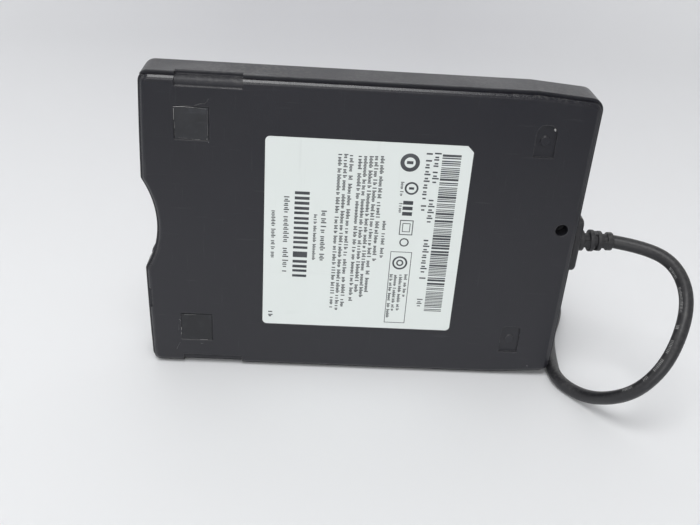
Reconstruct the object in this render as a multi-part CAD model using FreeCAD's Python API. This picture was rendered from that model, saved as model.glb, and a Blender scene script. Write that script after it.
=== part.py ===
"""External 3.5 inch floppy disk drive with a captive USB lead, standing on one long side.

Millimetres. +Z is up, along the drive's width. The disk slot faces -X and the lead leaves at +X.
The underside with the rating label faces -Y and the upper cover faces +Y.
The origin is the bottom centre of the case as it stands.
The disk sets the case's width and depth, and the stack of parts inside sets its thickness.
Names that end in _rise are heights above the chassis's base, along the thickness.
Names that end in _back are distances behind the bezel, or behind the spindle's axis where stated.
"""
import FreeCAD, Part
import math
import os

V = FreeCAD.Vector

# ---- disk and the room round it ------------------------------------------------------------
disk_width = 90.0
disk_length = 94.0
disk_thick = 3.3
disk_hub_from_lead = 46.0
disk_drop = 2.0             # from where it slides in down to where it is read
side_room = 7.0
front_room = 5.0
rear_room = 43.0
roof_room = 0.5
under_disk_rise = 6.3

# ---- case ------------------------------------------------------------------------------------
front_bow = 1.05            # how far the middle of the front stands out past its corners
taper_length = 20.5         # the long sides draw in over this length before the rear
taper_in = 1.65
front_corner = 3.6
rear_corner = 4.0
upper_edge_round = 2.2
wall = 1.5
roof = 1.4
cover_thick = 1.8
parting_gap = 0.2
cover_inset = 1.1           # step from the upper cover's wall in to the bottom cover
cover_bevel = 0.8
rear_bevel = 0.3
rear_inset = 0.8            # the same step at the rear
rear_slope_in = 1.4         # the bottom cover slopes back this far at the rear
rear_slope_up = 0.8
rim_clearance = 0.3
rim_thick = 1.2
rim_height = 1.8
least_round = 0.4
rear_rib_depth = 2.0
rear_rib_thick = 1.0
rear_rib_gap = 0.5
rear_rib_spread = (-32.0, -16.0, 24.0)
overcut = 1.0               # how far a cutting shape runs past what it cuts
same_place = 0.001          # two points closer than this are the same point

# finger notch in the front edge
notch_offset = 1.2          # above the middle of the width
notch_depth = 4.5
notch_radius = 31.0
notch_lip = 2.5

# rounded grips on both long edges near the front
grip_start = 12.1
grip_length = 20.3
grip_inset = 1.05
grip_round = 2.5
grip_step = 0.3             # below the underside
grip_line_in = 0.25          # from the start of the round to the groove beside it
grip_line = 0.35            # width and depth of that groove
grip_reach = 1.1            # above the parting line, into the upper cover's wall

# what lies in the underside
label_end_margin = 38.75
label_side_margin = 18.0
label_x = 0.6
label_thick = 0.15
label_corner = 1.5
label_cut = 2.0
label_gap = 0.1
pad_size = 10.2
pad_from_front = 16.95
pad_from_side = 15.3
pad_thick = 0.25
pad_gap = 0.25
foot_from_rear = 16.4
foot_from_side = 15.3
foot_width = 6.4
foot_length = 10.6
foot_depth = 0.8
foot_button_radius = 1.6
foot_button_height = 0.45
foot_corners = (1.6, 2.9)    # of the upper end, in the lower and in the upper recess

# case screw, deep in a column near the rear
screw_from_rear = 5.85
screw_off_middle = 6.6
screw_hole_radius = 2.05
screw_head_radius = 1.85
screw_head_height = 1.2
screw_radius = 1.0
screw_column_radius = 3.2
screw_seat = 1.2            # thickness of the column's floor under the head
screw_length = 7.0
screw_gap = 0.05
screw_cross = 0.35
screw_cross_reach = 1.2

# ---- bezel, door, button, lamp -----------------------------------------------------------------
bezel_depth = 5.8
bezel_inset = 0.25
bezel_side_gap = 0.7
bezel_gap = 0.2
slot_side_room = 0.8
slot_height_room = 0.5
door_thick = 0.7
door_gap = 0.3
door_side_room = 0.2
door_pin_radius = 0.5
door_pin_length = 1.6
door_barrel_radius = 0.65
door_spring_outer = 0.85
door_spring_inner = 0.6
door_spring_gap = 0.1
door_spring_length = 0.3
door_overlap = 0.35         # how far the door reaches past the slot's lower edge
door_pivot_lift = 0.6       # above the slot's upper edge
ear_thick = 1.4
ear_reach = 2.2
ear_drop = 1.1
running_gap = 0.05
button_width = 9.0
button_height = 3.2
button_from_disk_edge = 5.0
button_rise = 2.0
button_gap = 0.25
button_proud = 0.1
button_edge = 0.5
button_stem_width = 4.0
button_block_length = 3.0
eject_travel = 5.0
lamp_width = 5.0
lamp_height = 2.0
lamp_off_middle = -26.0
lamp_rise = 1.1
lamp_gap = 0.1
lip_cut_length = 7.5
lip_cut_depth = 0.8

# ---- chassis, cage and slide -------------------------------------------------------------------
sheet = 0.5
side_gap = 0.3
disk_side_gap = 0.4
disk_face_gap = 0.2
flange_width = 3.0
chassis_sheet = 0.8
chassis_lift = 0.4
chassis_front_back = 7.2
chassis_rear_back = 76.0    # behind the spindle
chassis_wall_gap = 0.4
chassis_screw_front_back = 17.2
chassis_screw_rear_back = 70.5
chassis_screw_in = 0.8      # in from the disk's edge
chassis_screw_head = 1.5
chassis_screw_head_height = 0.7
chassis_screw_radius = 0.8
chassis_screw_length = 2.4
boss_radius = 2.6
holder_front_back = 6.5
holder_rear_back = 55.0     # behind the spindle, as the next ones are
holder_side_rear_back = 46.5
holder_tail_in = 2.0
cage_pin_front_back = 20.2  # behind the bezel
cage_pin_rear_back = 38.0   # behind the spindle
cage_pin_radius = 0.8
cage_pin_rise = 8.2
cage_pin_reach = 0.2
slot_play = 0.1
arm_window_half = 8.5
arm_window_back = 10.0
hub_window_radius = 14.0
slide_front_back = 12.0
slide_rear_back = 52.0
slide_band = 20.0
slide_rail_in = 15.0
slide_arm_top_rise = 9.3
slide_arm_low_rise = 0.5
slide_arm_root = 4.0
slide_low_rise = 4.6
slide_gap = 0.3
slide_lever_back = 23.0
stop_thick = 0.5
stop_in = 15.0
stop_width = 4.0

# shutter lever: swings the disk's shutter open as the disk goes in
lever_pivot_back = 51.0     # behind the spindle
lever_pivot_in = 5.0
lever_reach_short = 18.7    # the lever is this much shorter than half the disk's width
lever_swing = 50.0
lever_thick = 0.35
lever_hub_radius = 2.8
lever_tip_radius = 1.6
lever_edge_in = 0.4
lever_lift = 0.1
lever_pin_radius = 0.9
lever_pin_rise = 7.4
lever_post_radius = 1.5
lever_post_head = 2.3
lever_post_head_thick = 0.2
lever_spring_wire = 0.2
lever_slot_play = 0.3

# ---- spindle motor -----------------------------------------------------------------------------
spindle_board_front_back = 9.2
spindle_board_back = 19.0   # behind the spindle
spindle_board_in = 3.5
spindle_board_hole_gap = 0.4
board_thick = 0.8
lamp_chip = (1.6, 2.0, 1.0)
driver_chip = (6.0, -14.0, 7.0, 7.0, 1.2)
hall_chip = (2.0, 2.2, 0.9)
hall_chip_gap = 0.6
hall_chip_spread = (8.0, -10.0)
rotor_radius = 18.5
rotor_sheet = 0.5
rotor_top_rise = 3.0
rotor_low_rise = 1.0
magnet_thick = 1.5
magnet_gap = 0.05
magnet_lift = 0.1
stator_inner = 4.2
stator_ring = 6.6
stator_gap = 3.5            # from the rotor's outside in to the stator, past the magnet
stator_shoe = 1.2
stator_teeth = 9
stator_thick = 0.8
tooth_width = 2.2
coil_inner = 7.6
coil_end_gap = 2.0
coil_wall = 0.4
coil_wall_under = 0.1
shaft_radius = 1.25
shaft_low_rise = -0.7
bearing_radius = 3.2
bearing_top_rise = 2.2
bearing_lift = 0.1
hub_radius = 12.0
hub_thick = 0.5
hub_pin_radius = 1.95
hub_pin_height = 1.8
hub_pin_chamfer = 0.5
drive_pin_radius = 1.0
drive_pin_height = 0.9
drive_pin_orbit = 10.3

# ---- head carriage: distances are behind the spindle's axis -------------------------------------
head_orbit = 39.5           # radius of the outermost track
head_travel = 14.8
media_half_gap = 0.05
rod_radius = 1.0
rod_rise = 1.8
rod_spread_high = 11.0
rod_spread_low = 9.0
rod_front_back = 22.0
rod_rear_back = 75.0
clamp_length = 2.5
clamp_half = 2.1
clamp_trim = 0.4
clamp_top_rise = 3.4
carriage_half = 7.0
carriage_low_rise = 1.0
carriage_top_rise = 2.9
carriage_front_back = 35.0
carriage_length = 33.0
lug_front_back = 42.0
lug_length = 20.0
lug_half = 2.9
lug_low_rise = 0.3
lug_top_rise = 3.5
lug_gap = 0.15
lug_in = 1.4
weld = 1.0                  # how far a carriage rib runs into the plate it grows from
lower_head_size = 4.0
hinge_back = 65.0
hinge_rise = 6.8
hinge_block_length = 6.4
hinge_ear_thick = 1.4
hinge_ear_rise = 8.0
hinge_block_rise = 5.3
hinge_pin_radius = 0.6
knuckle_radius = 1.2
knuckle_half = 4.0
arm_half = 3.8
arm_above_media = 0.45
arm_thick = 0.8
arm_front_back = 36.5
arm_raise = 8.34            # degrees that the raised arm stands above its working position
wing_back = 50.3
wing_length = 2.0
wing_half = 11.0
wing_rise = 8.52
wing_thick = 0.55
arm_spring_wire = 0.45
arm_spring_gap = 0.2
arm_spring_side_gap = 0.15
screw_drive_off_middle = -18.0
screw_drive_rise = 2.9
lead_screw_radius = 0.9
lead_screw_back = 23.0
screw_pitch = 3.0
screw_groove = 0.6
screw_groove_depth = 0.2
screw_plain_end = 5.0
screw_bearing_length = 2.0
screw_bearing_half = 2.2
screw_bearing_top = 1.6
stepper_radius = 4.0
stepper_length = 9.0
stepper_back = 68.4
stepper_gap = 0.4
stepper_mouth = 1.5
stepper_terminal = (2.0, 5.0, 1.4)
stepper_terminal_low = 1.0
stepper_terminal_high = 1.2
bracket_thick = 0.8
bracket_half = 5.6
follower_back = 48.0
follower_length = 6.0
follower_thick = 0.8
follower_rise = 3.8
follower_tooth = 0.5
flag_back = 53.0
flag_length = 2.0
flag_low_rise = 1.95
flag_top_rise = 2.45
flag_off_middle = 18.8
sensor_back = 52.0
sensor_length = 4.0
sensor_off_middle = 15.6
sensor_width = 4.8
sensor_top_rise = 3.7
sensor_slot_low_rise = 1.6
sensor_slot_top_rise = 2.8
sensor_slot_gap = 0.5
flex_radius = 6.0
flex_thick = 0.15
flex_low_rise = 3.6
flex_high_rise = 6.0
flex_leg = 5.0
flex_stand = 0.5

# springs that push the slide plate forward
eject_spring_radius = 1.1
eject_spring_wire = 0.35
eject_spring_rise = 8.6
eject_spring_in = 0.4       # in from the disk's edge
eject_post_back = 74.0
eject_post_radius = 0.7
eject_post_above = 1.0
tab_thick = 0.5
tab_below = 1.5

# switches that feel the disk's holes: distance in from the disk's edge, and side
switch_back = 15.2
switch_length = 5.0
switch_width = 4.0
switch_top_rise = 3.4
switch_floor = 0.2
switch_lid = 0.3
plunger_radius = 0.7
plunger_below_disk = 1.0
plunger_root = 1.0
plunger_collar = 1.1
plunger_collar_low = 0.8
plunger_collar_high = 0.35
switches = (("write_protect_plunger", 6.0, -1), ("disk_in_plunger", 14.0, -1), ("density_plunger", 6.0, 1))

# ---- boards. Each part on a board: start along X and Z from its corner, length, width, height --
main_board_back = 22.0
main_board_length = 46.0
main_board_off_middle = 15.0
main_board_in = 1.5
main_chips = ((6.0, 9.0, 14.0, 14.0, 1.6), (24.0, 11.0, 9.0, 12.0, 1.4), (4.0, 25.0, 10.0, 1.9, 1.0),
              (20.0, 26.0, 6.0, 1.2, 0.9), (36.0, 13.0, 6.0, 9.0, 1.2), (36.0, 25.0, 3.0, 1.5, 1.2),
              (41.0, 25.0, 3.0, 1.5, 1.2), (25.0, 7.0, 3.0, 1.6, 0.9))
flex_socket_width = 1.4
ribbon_socket_length = 3.0
ribbon_socket_start = 14.0
ribbon_socket_width = 6.0
usb_board_depth = 7.3
usb_board_from_rear = 3.3
usb_board_in = 2.0
usb_board_far_off = -6.6
usb_board_posts = (5.0, 33.0)
usb_post_radius = 1.5
usb_chips = ((1.0, 9.0, 5.4, 5.4, 1.2), (0.8, 17.0, 2.0, 3.4, 0.9), (3.8, 17.0, 3.0, 1.6, 1.3),
             (1.6, 2.0, 1.4, 2.4, 0.8), (4.6, 2.0, 1.4, 2.4, 0.8), (4.2, 20.0, 2.0, 1.2, 0.7))
usb_socket_start = 22.0
usb_socket_depth = 2.0
lead_connector_box = (2.0, 4.2, 4.8, 3.2)
lead_connector_from_end = 2.0
wire_radius = 0.3
wire_count = 4
wire_pitch = 0.9
wire_step = 0.5
wire_rise = 0.7
wire_end_gap = 0.5
wire_start_gap = 0.3
wire_spread = 4.2
ribbon_thick = 0.2
ribbon_gap = 0.4
ribbon_low_rise = 1.2
ribbon_high_rise = 4.2
ribbon_end_in = 3.0

# ---- lead ----------------------------------------------------------------------------------------
cord_radius = 2.25
gland_flange = 2.2
gland_half_low = 10.0
gland_half_high = 9.5
gland_half_height = 6.0
gland_corner = 2.5
gland_rim_round = 1.2
gland_root = 0.5
neck_half = 4.0
neck_low_up = 2.1
neck_high_up = 11.0
inner_flange = 1.4
inner_flange_low = 5.8
inner_flange_high = 3.4
inner_flange_below = 0.1
inner_flange_above = 1.0
boot_up = 7.0
boot_core = 2.45
boot_rings = ((0.0, 1.9, 3.6), (3.8, 1.6, 3.7), (6.5, 1.5, 3.4), (9.8, 2.0, 3.1))
boot_ring_round = 0.35
boot_webs = ((1.9, 1.9, "y"), (5.4, 1.1, "z"), (8.0, 1.8, "y"))
boot_lap = 0.2
web_half = 1.2
web_reach = 3.1
boot_tip = 0.6
boot_end_radius = 2.4
boot_end = 12.1
# the lead's turning points: the first from where it leaves the boot, the others from the coil's
# centre, along X and Y, and all that lie on the floor at the lead's own radius
cord_hang = ((0.0, 0.0, 0.0), (10.7, -4.0, -0.5), (18.2, -12.5, -3.5), (20.2, -26.0, -10.0),
             (14.2, -36.0, -22.0), (6.7, -37.0, -32.5), (0.7, -33.0, -41.0))
cord_floor = ((25.0, -63.8), (18.2, -50.8), (18.2, -37.8), (19.5, -28.6), (21.8, -21.3), (24.4, -14.1))
tail_points = ((-17.5, 23.6, 6.8), (-27.5, 23.0, 5.4), (-37.5, 21.0, 2.3), (-47.0, 20.0, 3.0),
               (-55.5, 20.0, 4.0))
bend_share = 0.45
coil_from_rear = 15.0
coil_y = 40.8
coil_outer_radius = 30.5
coil_inner_radius = 16.7
coil_height = 9.0
coil_edge = 2.0
tie_width = 7.0
tie_thick = 0.6
tie_gap = 0.1
plug_nose = 9.0
plug_nose_radius = 2.9
plug_nose_wide = 3.6
plug_body_length = 22.0
plug_body_width = 15.6
plug_body_height = 8.0
plug_edge = 1.8
plug_shell_length = 18.7
plug_shell_width = 12.0
plug_shell_height = 4.5
plug_shell_wall = 0.3
plug_hole_start = 9.0
plug_hole_length = 2.5
plug_hole_half = 1.15
plug_hole_spread = 2.9
tongue_height = 1.9
tongue_gap = 0.25
tongue_back = 0.6
contact_back = 1.2
contact_pitch = 2.5
contact_half = 0.5
contact_proud = 0.12
contact_count = 4

# ---- worked out from the sizes above ---------------------------------------------------------------
case_width = disk_width + 2 * side_room
case_depth = disk_length + front_room + rear_room
inner_height = (chassis_lift + chassis_sheet + under_disk_rise + disk_thick + disk_face_gap + sheet
                + slide_gap + sheet + roof_room)
case_height = cover_thick + inner_height + roof
front = -case_depth / 2
rear = case_depth / 2
mid = case_width / 2
disk_half = disk_width / 2
under = -case_height / 2
top = case_height / 2
floor_in = under + cover_thick
shell_low = floor_in + parting_gap
roof_in = top - roof
bow_radius = (mid ** 2 + front_bow ** 2) / (2 * front_bow)
taper_angle = math.atan2(taper_in, taper_length)
taper_start = rear - taper_length
notch_z = mid + notch_offset
notch_x = front + notch_depth - notch_radius
bezel_back = front + bezel_depth

chassis_low = floor_in + chassis_lift
chassis_top = chassis_low + chassis_sheet
board_top = chassis_top + board_thick
disk_raised = chassis_top + under_disk_rise
disk_raised_top = disk_raised + disk_thick
disk_centre_y = disk_raised + disk_thick / 2
media_loaded = disk_centre_y - disk_drop
disk_front = front + front_room
disk_rear = disk_front + disk_length
spindle_x = disk_rear - disk_hub_from_lead

label_length = case_depth - 2 * label_end_margin
label_width = case_width - 2 * label_side_margin
pad_x = front + pad_from_front
pad_spread = mid - pad_from_side
foot_x = rear - foot_from_rear
foot_spread = mid - foot_from_side
screw_x = rear - screw_from_rear
screw_z = mid + screw_off_middle

slot_width = disk_width + 2 * slot_side_room
slot_low = disk_raised - slot_height_room
slot_high = disk_raised_top + slot_height_room
door_width = disk_width + 2 * door_side_room
door_x = bezel_back + door_gap + door_barrel_radius
door_pivot_y = slot_high + door_pivot_lift
button_z = mid + disk_half - button_from_disk_edge
button_y = chassis_top + button_rise
lamp_z = mid + lamp_off_middle
lamp_y = chassis_top + lamp_rise

holder_inner = disk_half + disk_side_gap
holder_outer = holder_inner + sheet
holder_under = disk_raised_top + disk_face_gap
holder_top = holder_under + sheet
holder_flange_top = disk_raised - disk_face_gap
holder_flange_low = holder_flange_top - sheet
holder_front = bezel_back + holder_front_back
holder_rear = spindle_x + holder_rear_back
holder_side_rear = spindle_x + holder_side_rear_back
slide_inner = holder_outer + side_gap
slide_outer = slide_inner + sheet
slide_under = holder_top + slide_gap
slide_top = slide_under + sheet
slide_front = bezel_back + slide_front_back
slide_rear = spindle_x + slide_rear_back
slide_arm_front = bezel_back + eject_travel + bezel_gap
slide_rail_half = disk_half - slide_rail_in
chassis_inner = slide_outer + side_gap
chassis_outer = chassis_inner + chassis_sheet
chassis_front = bezel_back + chassis_front_back
chassis_rear = spindle_x + chassis_rear_back
chassis_wall_top = slide_under - chassis_wall_gap
chassis_screw_x = (bezel_back + chassis_screw_front_back, spindle_x + chassis_screw_rear_back)
chassis_screw_spread = disk_half - chassis_screw_in
cage_pin_x = (bezel_back + cage_pin_front_back, spindle_x + cage_pin_rear_back)
cage_pin_y = chassis_top + cage_pin_rise
eject_spring_y = chassis_top + eject_spring_rise
eject_spring_spread = disk_half - eject_spring_in
eject_post_x = spindle_x + eject_post_back
stop_x = disk_rear + disk_side_gap
lever_pivot_x = spindle_x + lever_pivot_back
lever_pivot_z = mid + disk_half - lever_pivot_in
lever_reach = disk_half - lever_reach_short
lever_end_x = disk_rear + lever_pin_radius
lever_pin_low = chassis_top + lever_pin_rise

spindle_board_front = bezel_back + spindle_board_front_back
spindle_board_rear = spindle_x + spindle_board_back
rotor_top = chassis_top + rotor_top_rise
rotor_low = chassis_top + rotor_low_rise
stator_low = rotor_low
stator_outer = rotor_radius - stator_gap
coil_outer = stator_outer - coil_end_gap
hub_top = rotor_top + hub_thick

head_x = spindle_x + head_orbit
rod_y = chassis_top + rod_rise
rod_front = spindle_x + rod_front_back
rod_rear = spindle_x + rod_rear_back
clamp_top = chassis_top + clamp_top_rise
carriage_low = chassis_top + carriage_low_rise
carriage_top = chassis_top + carriage_top_rise
carriage_front = spindle_x + carriage_front_back
carriage_rear = carriage_front + carriage_length
lug_front = spindle_x + lug_front_back
lug_rear = lug_front + lug_length
hinge_x = spindle_x + hinge_back
hinge_y = chassis_top + hinge_rise
hinge_block_front = carriage_rear - hinge_block_length
hinge_block_top = chassis_top + hinge_block_rise
arm_low = media_loaded + arm_above_media
wing_x = spindle_x + wing_back
wing_low = chassis_top + wing_rise
screw_drive_z = mid + screw_drive_off_middle
screw_drive_y = chassis_top + screw_drive_rise
lead_screw_front = spindle_x + lead_screw_back
stepper_front = spindle_x + stepper_back
follower_x = spindle_x + follower_back
follower_top = chassis_top + follower_rise
flag_x = spindle_x + flag_back
sensor_x = spindle_x + sensor_back
sensor_near = mid + sensor_off_middle
flex_low = chassis_top + flex_low_rise
flex_high = chassis_top + flex_high_rise
switch_x = bezel_back + switch_back
switch_top = chassis_top + switch_top_rise

main_board_front = spindle_x + main_board_back
main_board_rear = main_board_front + main_board_length
main_board_near = mid + main_board_off_middle
main_board_far = mid + chassis_inner - main_board_in
usb_board_rear = rear - usb_board_from_rear
usb_board_front = usb_board_rear - usb_board_depth
usb_board_near = mid - disk_half + usb_board_in
usb_board_far = mid + usb_board_far_off
ribbon_low = chassis_top + ribbon_low_rise
ribbon_high = chassis_top + ribbon_high_rise
ribbon_x = usb_board_front - ribbon_gap

boot_y = under + boot_up
neck_low = under + neck_low_up
neck_high = under + neck_high_up
boot_start = rear + gland_flange
coil_x = rear - coil_from_rear
cord_exit = V(boot_start + boot_end, boot_y, mid)
cord_route = [cord_exit + V(*p) for p in cord_hang]
cord_route += [V(coil_x + x, coil_y + y, cord_radius) for x, y in cord_floor]
tail_route = [V(coil_x + x, coil_y + y, z) for x, y, z in tail_points]
plug_start = tail_route[-1]
plug_nose_end = plug_start.x - plug_nose
plug_back = plug_nose_end - plug_body_length
plug_axis_z = plug_body_height / 2


# ---- building blocks ----------------------------------------------------------------------
def box(x0, x1, y0, y1, z0, z1):
    return Part.makeBox(x1 - x0, y1 - y0, z1 - z0, V(x0, y0, z0))


def rod(radius, start, end):
    return Part.makeCylinder(radius, (end - start).Length, start, end - start)


def ring(outer, inner, start, end):
    return rod(outer, start, end).cut(rod(inner, start, end))


def pillar(radius, x, z, y0, y1):
    """A round post that runs along the thickness of the drive."""
    return rod(radius, V(x, y0, z), V(x, y1, z))


def both_sides(make):
    """The shape at +1 and -1 sides of the middle of the width, as one group."""
    return [make(1), make(-1)]


def span(side, near, far):
    """Low and high Z of a strip from near to far off the middle, on one side of it."""
    return sorted((mid + side * near, mid + side * far))


def fused(shapes):
    whole = shapes[0]
    for shape in shapes[1:]:
        whole = whole.fuse(shape)
    return whole.removeSplitter()


def save(name, *solids):
    """Write one node: a single solid, or a group of separate solids."""
    shape = solids[0] if len(solids) == 1 else Part.makeCompound(list(solids))
    shape.exportStep("parts/" + name + ".step")
    print(name, len(shape.Solids), round(shape.Volume, 2), shape.isValid())


def along_y(edge):
    direction = edge.Vertexes[-1].Point - edge.Vertexes[0].Point
    across = math.hypot(direction.x, direction.z)
    return across < same_place < abs(direction.y)


def edges_at(solid, y):
    """The outer edges of the face that lies at this height, looked at along Y."""
    flat = [f for f in solid.Faces
            if abs(f.BoundBox.YMin - y) < same_place and abs(f.BoundBox.YMax - y) < same_place]
    return max(flat, key=lambda f: f.Area).OuterWire.Edges


# ---- case outline -------------------------------------------------------------------------
def front_x(z, inset):
    """X of the bowed front, set in by inset, at this height."""
    reach = (bow_radius - inset) ** 2 - (z - mid) ** 2
    return front + bow_radius - math.sqrt(reach)


def slab(inset, y0, y1, notched=True, behind=None):
    """The case outline, set in by inset and by behind at the rear, through the thickness y0 to y1."""
    behind = inset if behind is None else behind
    low_front = V(front_x(inset, inset), y0, inset)
    low_kink = V(taper_start - inset * math.tan(taper_angle / 2), y0, inset)
    rear_x = rear - behind
    rear_z = inset / math.cos(taper_angle) + (rear_x - taper_start) * math.tan(taper_angle)
    low_rear = V(rear_x, y0, rear_z)

    def mirrored(point):
        return V(point.x, point.y, case_width - point.z)

    corners = [low_front, low_kink, low_rear, mirrored(low_rear), mirrored(low_kink), mirrored(low_front)]
    edges = [Part.LineSegment(a, b).toShape() for a, b in zip(corners, corners[1:])]
    bow = Part.Arc(mirrored(low_front), V(front + inset, y0, mid), low_front)
    face = Part.Face(Part.Wire(edges + [bow.toShape()]))
    solid = face.extrude(V(0, y1 - y0, 0))
    solid = round_corners(solid, low_front.x, max(front_corner - inset, least_round))
    solid = round_corners(solid, rear_x, max(rear_corner - inset, least_round))
    if not notched:
        return solid
    solid = solid.cut(pillar(notch_radius + inset, notch_x, notch_z, y0 - overcut, y1 + overcut))
    lips = [e for e in solid.Edges if along_y(e) and e.BoundBox.XMax < bezel_back
            and abs(e.BoundBox.ZMin - notch_z) < mid / 2]
    return solid.makeFillet(max(notch_lip - inset, least_round), lips)


def round_corners(solid, x, radius):
    edges = [e for e in solid.Edges if along_y(e) and abs(e.BoundBox.XMin - x) < same_place]
    return solid.makeFillet(radius, edges)


def grip_cutters():
    """Cut the long edges back to a round, to a little above the parting line."""
    x0 = front + grip_start
    centre_y = under + grip_step + grip_round
    centre_z = grip_inset + grip_round
    high = shell_low + grip_reach
    cutters = []
    for side in (1, -1):
        block = box(x0, x0 + grip_length, under - overcut, high, *span(side, mid - centre_z, mid + overcut))
        axis_z = mid + side * (mid - centre_z)
        x1 = x0 + grip_length + overcut
        core = rod(grip_round, V(x0 - overcut, centre_y, axis_z), V(x1, centre_y, axis_z))
        inner = box(x0 - overcut, x1, centre_y, high + overcut,
                    *span(side, mid - centre_z, mid - centre_z + grip_round))
        cutters.append(block.cut(core).cut(inner))
    return cutters


def grip_groove(side):
    """A fine groove in the underside along the inner edge of a grip."""
    x0 = front + grip_start
    far = mid - grip_inset - grip_round - grip_line_in
    return box(x0, x0 + grip_length, under - overcut, under + grip_line, *span(side, far, far + grip_line))


# ---- covers -------------------------------------------------------------------------------
def screw_seat_y():
    return floor_in + screw_head_height + screw_length / 2


def top_cover():
    shell = slab(0, shell_low, top)
    shell = shell.makeFillet(upper_edge_round, edges_at(shell, top))
    shell = shell.cut(slab(wall, shell_low - overcut, roof_in))
    shell = shell.cut(box(front - overcut, bezel_back + overcut, shell_low - overcut, roof_in,
                          *span(1, bezel_side_gap * 2 - mid, mid - bezel_side_gap * 2)))
    for cutter in grip_cutters():
        shell = shell.cut(cutter)
    shell = shell.cut(box(rear - wall - overcut, rear + overcut, under, neck_high + screw_gap,
                          mid - neck_half - screw_gap, mid + neck_half + screw_gap))
    column = pillar(screw_column_radius, screw_x, screw_z, screw_seat_y() + parting_gap, roof_in)
    bore = pillar(screw_radius + screw_gap, screw_x, screw_z, under, screw_seat_y() + screw_length)
    shell = shell.fuse(column).cut(bore)
    ribs = [box(chassis_rear + rear_rib_gap, rear - wall, roof_in - rear_rib_depth, roof_in, mid + z,
                mid + z + rear_rib_thick) for z in rear_rib_spread]
    return fused([shell] + ribs)


def rear_slope():
    """A wedge that takes the rear edge of the underside back."""
    x = rear - rear_inset
    corners = [V(x - rear_slope_in, under, 0), V(x + overcut, under, 0), V(x + overcut, under + rear_slope_up
               + overcut * rear_slope_up / rear_slope_in, 0)]
    return Part.Face(Part.makePolygon(corners + corners[:1])).extrude(V(0, 0, case_width))


def foot_recess(side):
    """A recess with rounded corners at its upper end and a small round button in it."""
    z = mid + side * foot_spread
    half = foot_width / 2
    high = under + foot_depth
    shape = box(foot_x - half, foot_x + half, under - overcut, high, z - foot_length / 2,
                z + foot_length / 2)
    upper = [e for e in shape.Edges if along_y(e) and e.BoundBox.ZMin > z]
    shape = shape.makeFillet(foot_corners[side > 0], upper)
    button = pillar(foot_button_radius, foot_x, z, high - foot_button_height, high + overcut)
    return shape.cut(button)


def bottom_cover():
    plate = slab(cover_inset, under, floor_in, behind=rear_inset)
    sides = [e for e in edges_at(plate, under) if e.BoundBox.XMin < taper_start - overcut]
    plate = plate.makeChamfer(cover_bevel, sides)
    behind = [e for e in edges_at(plate, under) if e.BoundBox.XMin > taper_start - overcut]
    plate = plate.makeChamfer(rear_bevel, behind)
    plate = plate.cut(rear_slope())
    rim_out = wall + rim_clearance
    rim = slab(rim_out, floor_in, floor_in + rim_height).cut(
        slab(rim_out + rim_thick, floor_in - overcut, floor_in + rim_height + overcut))
    rim = rim.cut(box(front, bezel_back + 2 * overcut, floor_in - overcut, top, 0, case_width))
    rim = rim.cut(box(rear - 2 * wall - rim_thick, rear, floor_in - overcut, top, mid - gland_half_low,
                      mid + gland_half_high))
    cover = plate.fuse(rim)
    for x in chassis_screw_x:
        for z in span(1, -chassis_screw_spread, chassis_screw_spread):
            cover = cover.fuse(pillar(boss_radius, x, z, floor_in, chassis_low))
            cover = cover.cut(pillar(chassis_screw_radius + screw_gap, x, z,
                                     chassis_top - chassis_screw_length - screw_gap, top))
    for z in usb_board_posts:
        x = (usb_board_front + usb_board_rear) / 2
        cover = cover.fuse(pillar(usb_post_radius, x, usb_board_near + z, floor_in, chassis_top))
    cover = cover.fuse(pillar(screw_column_radius, screw_x, screw_z, floor_in, screw_seat_y()))
    cover = cover.cut(pillar(screw_hole_radius, screw_x, screw_z, under - overcut,
                             screw_seat_y() - screw_seat))
    cover = cover.cut(pillar(screw_radius + screw_gap, screw_x, screw_z, under - overcut, top))
    for cutter in grip_cutters():
        cover = cover.cut(cutter)
    cover = cover.cut(label_plate(label_gap, label_thick + overcut).translated(V(0, -overcut, 0)))
    for side in (1, -1):
        cover = cover.cut(foot_recess(side))
        cover = cover.cut(pad(side, pad_gap))
        cover = cover.cut(grip_groove(side))
    lip_x = front_x(lamp_z, cover_inset) + lip_cut_depth
    half = lip_cut_length / 2
    return cover.cut(box(front - overcut, lip_x, under - overcut, floor_in + overcut, lamp_z - half,
                         lamp_z + half))


def label_plate(grow, thick):
    """The label's outline, with one corner cut and the others rounded."""
    x0 = label_x - label_length / 2 - grow
    x1 = label_x + label_length / 2 + grow
    z0 = mid - label_width / 2 - grow
    z1 = mid + label_width / 2 + grow
    points = [V(x0, under, z0), V(x1, under, z0), V(x1, under, z1 - label_cut),
              V(x1 - label_cut, under, z1), V(x0, under, z1), V(x0, under, z0)]
    plate = Part.Face(Part.makePolygon(points)).extrude(V(0, thick, 0))
    rounded = [e for e in plate.Edges if along_y(e)
               and (e.BoundBox.XMin < x0 + label_cut / 2 or e.BoundBox.ZMin < z0 + label_cut / 2)]
    return plate.makeFillet(label_corner, rounded)


def pad(side, grow):
    z = mid + side * pad_spread
    half = pad_size / 2 + grow
    return box(pad_x - half, pad_x + half, under, under + pad_thick, z - half, z + half)


def case_screw():
    seat = screw_seat_y() - screw_seat
    head = pillar(screw_head_radius, screw_x, screw_z, seat - screw_head_height, seat)
    shank = pillar(screw_radius, screw_x, screw_z, seat, seat + screw_length)
    ways = ((screw_cross, screw_cross_reach), (screw_cross_reach, screw_cross))
    slots = [box(screw_x - a, screw_x + a, seat - screw_head_height - overcut, seat - screw_head_height / 2,
                 screw_z - b, screw_z + b) for a, b in ways]
    return fused([head, shank]).cut(slots[0]).cut(slots[1])


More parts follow.
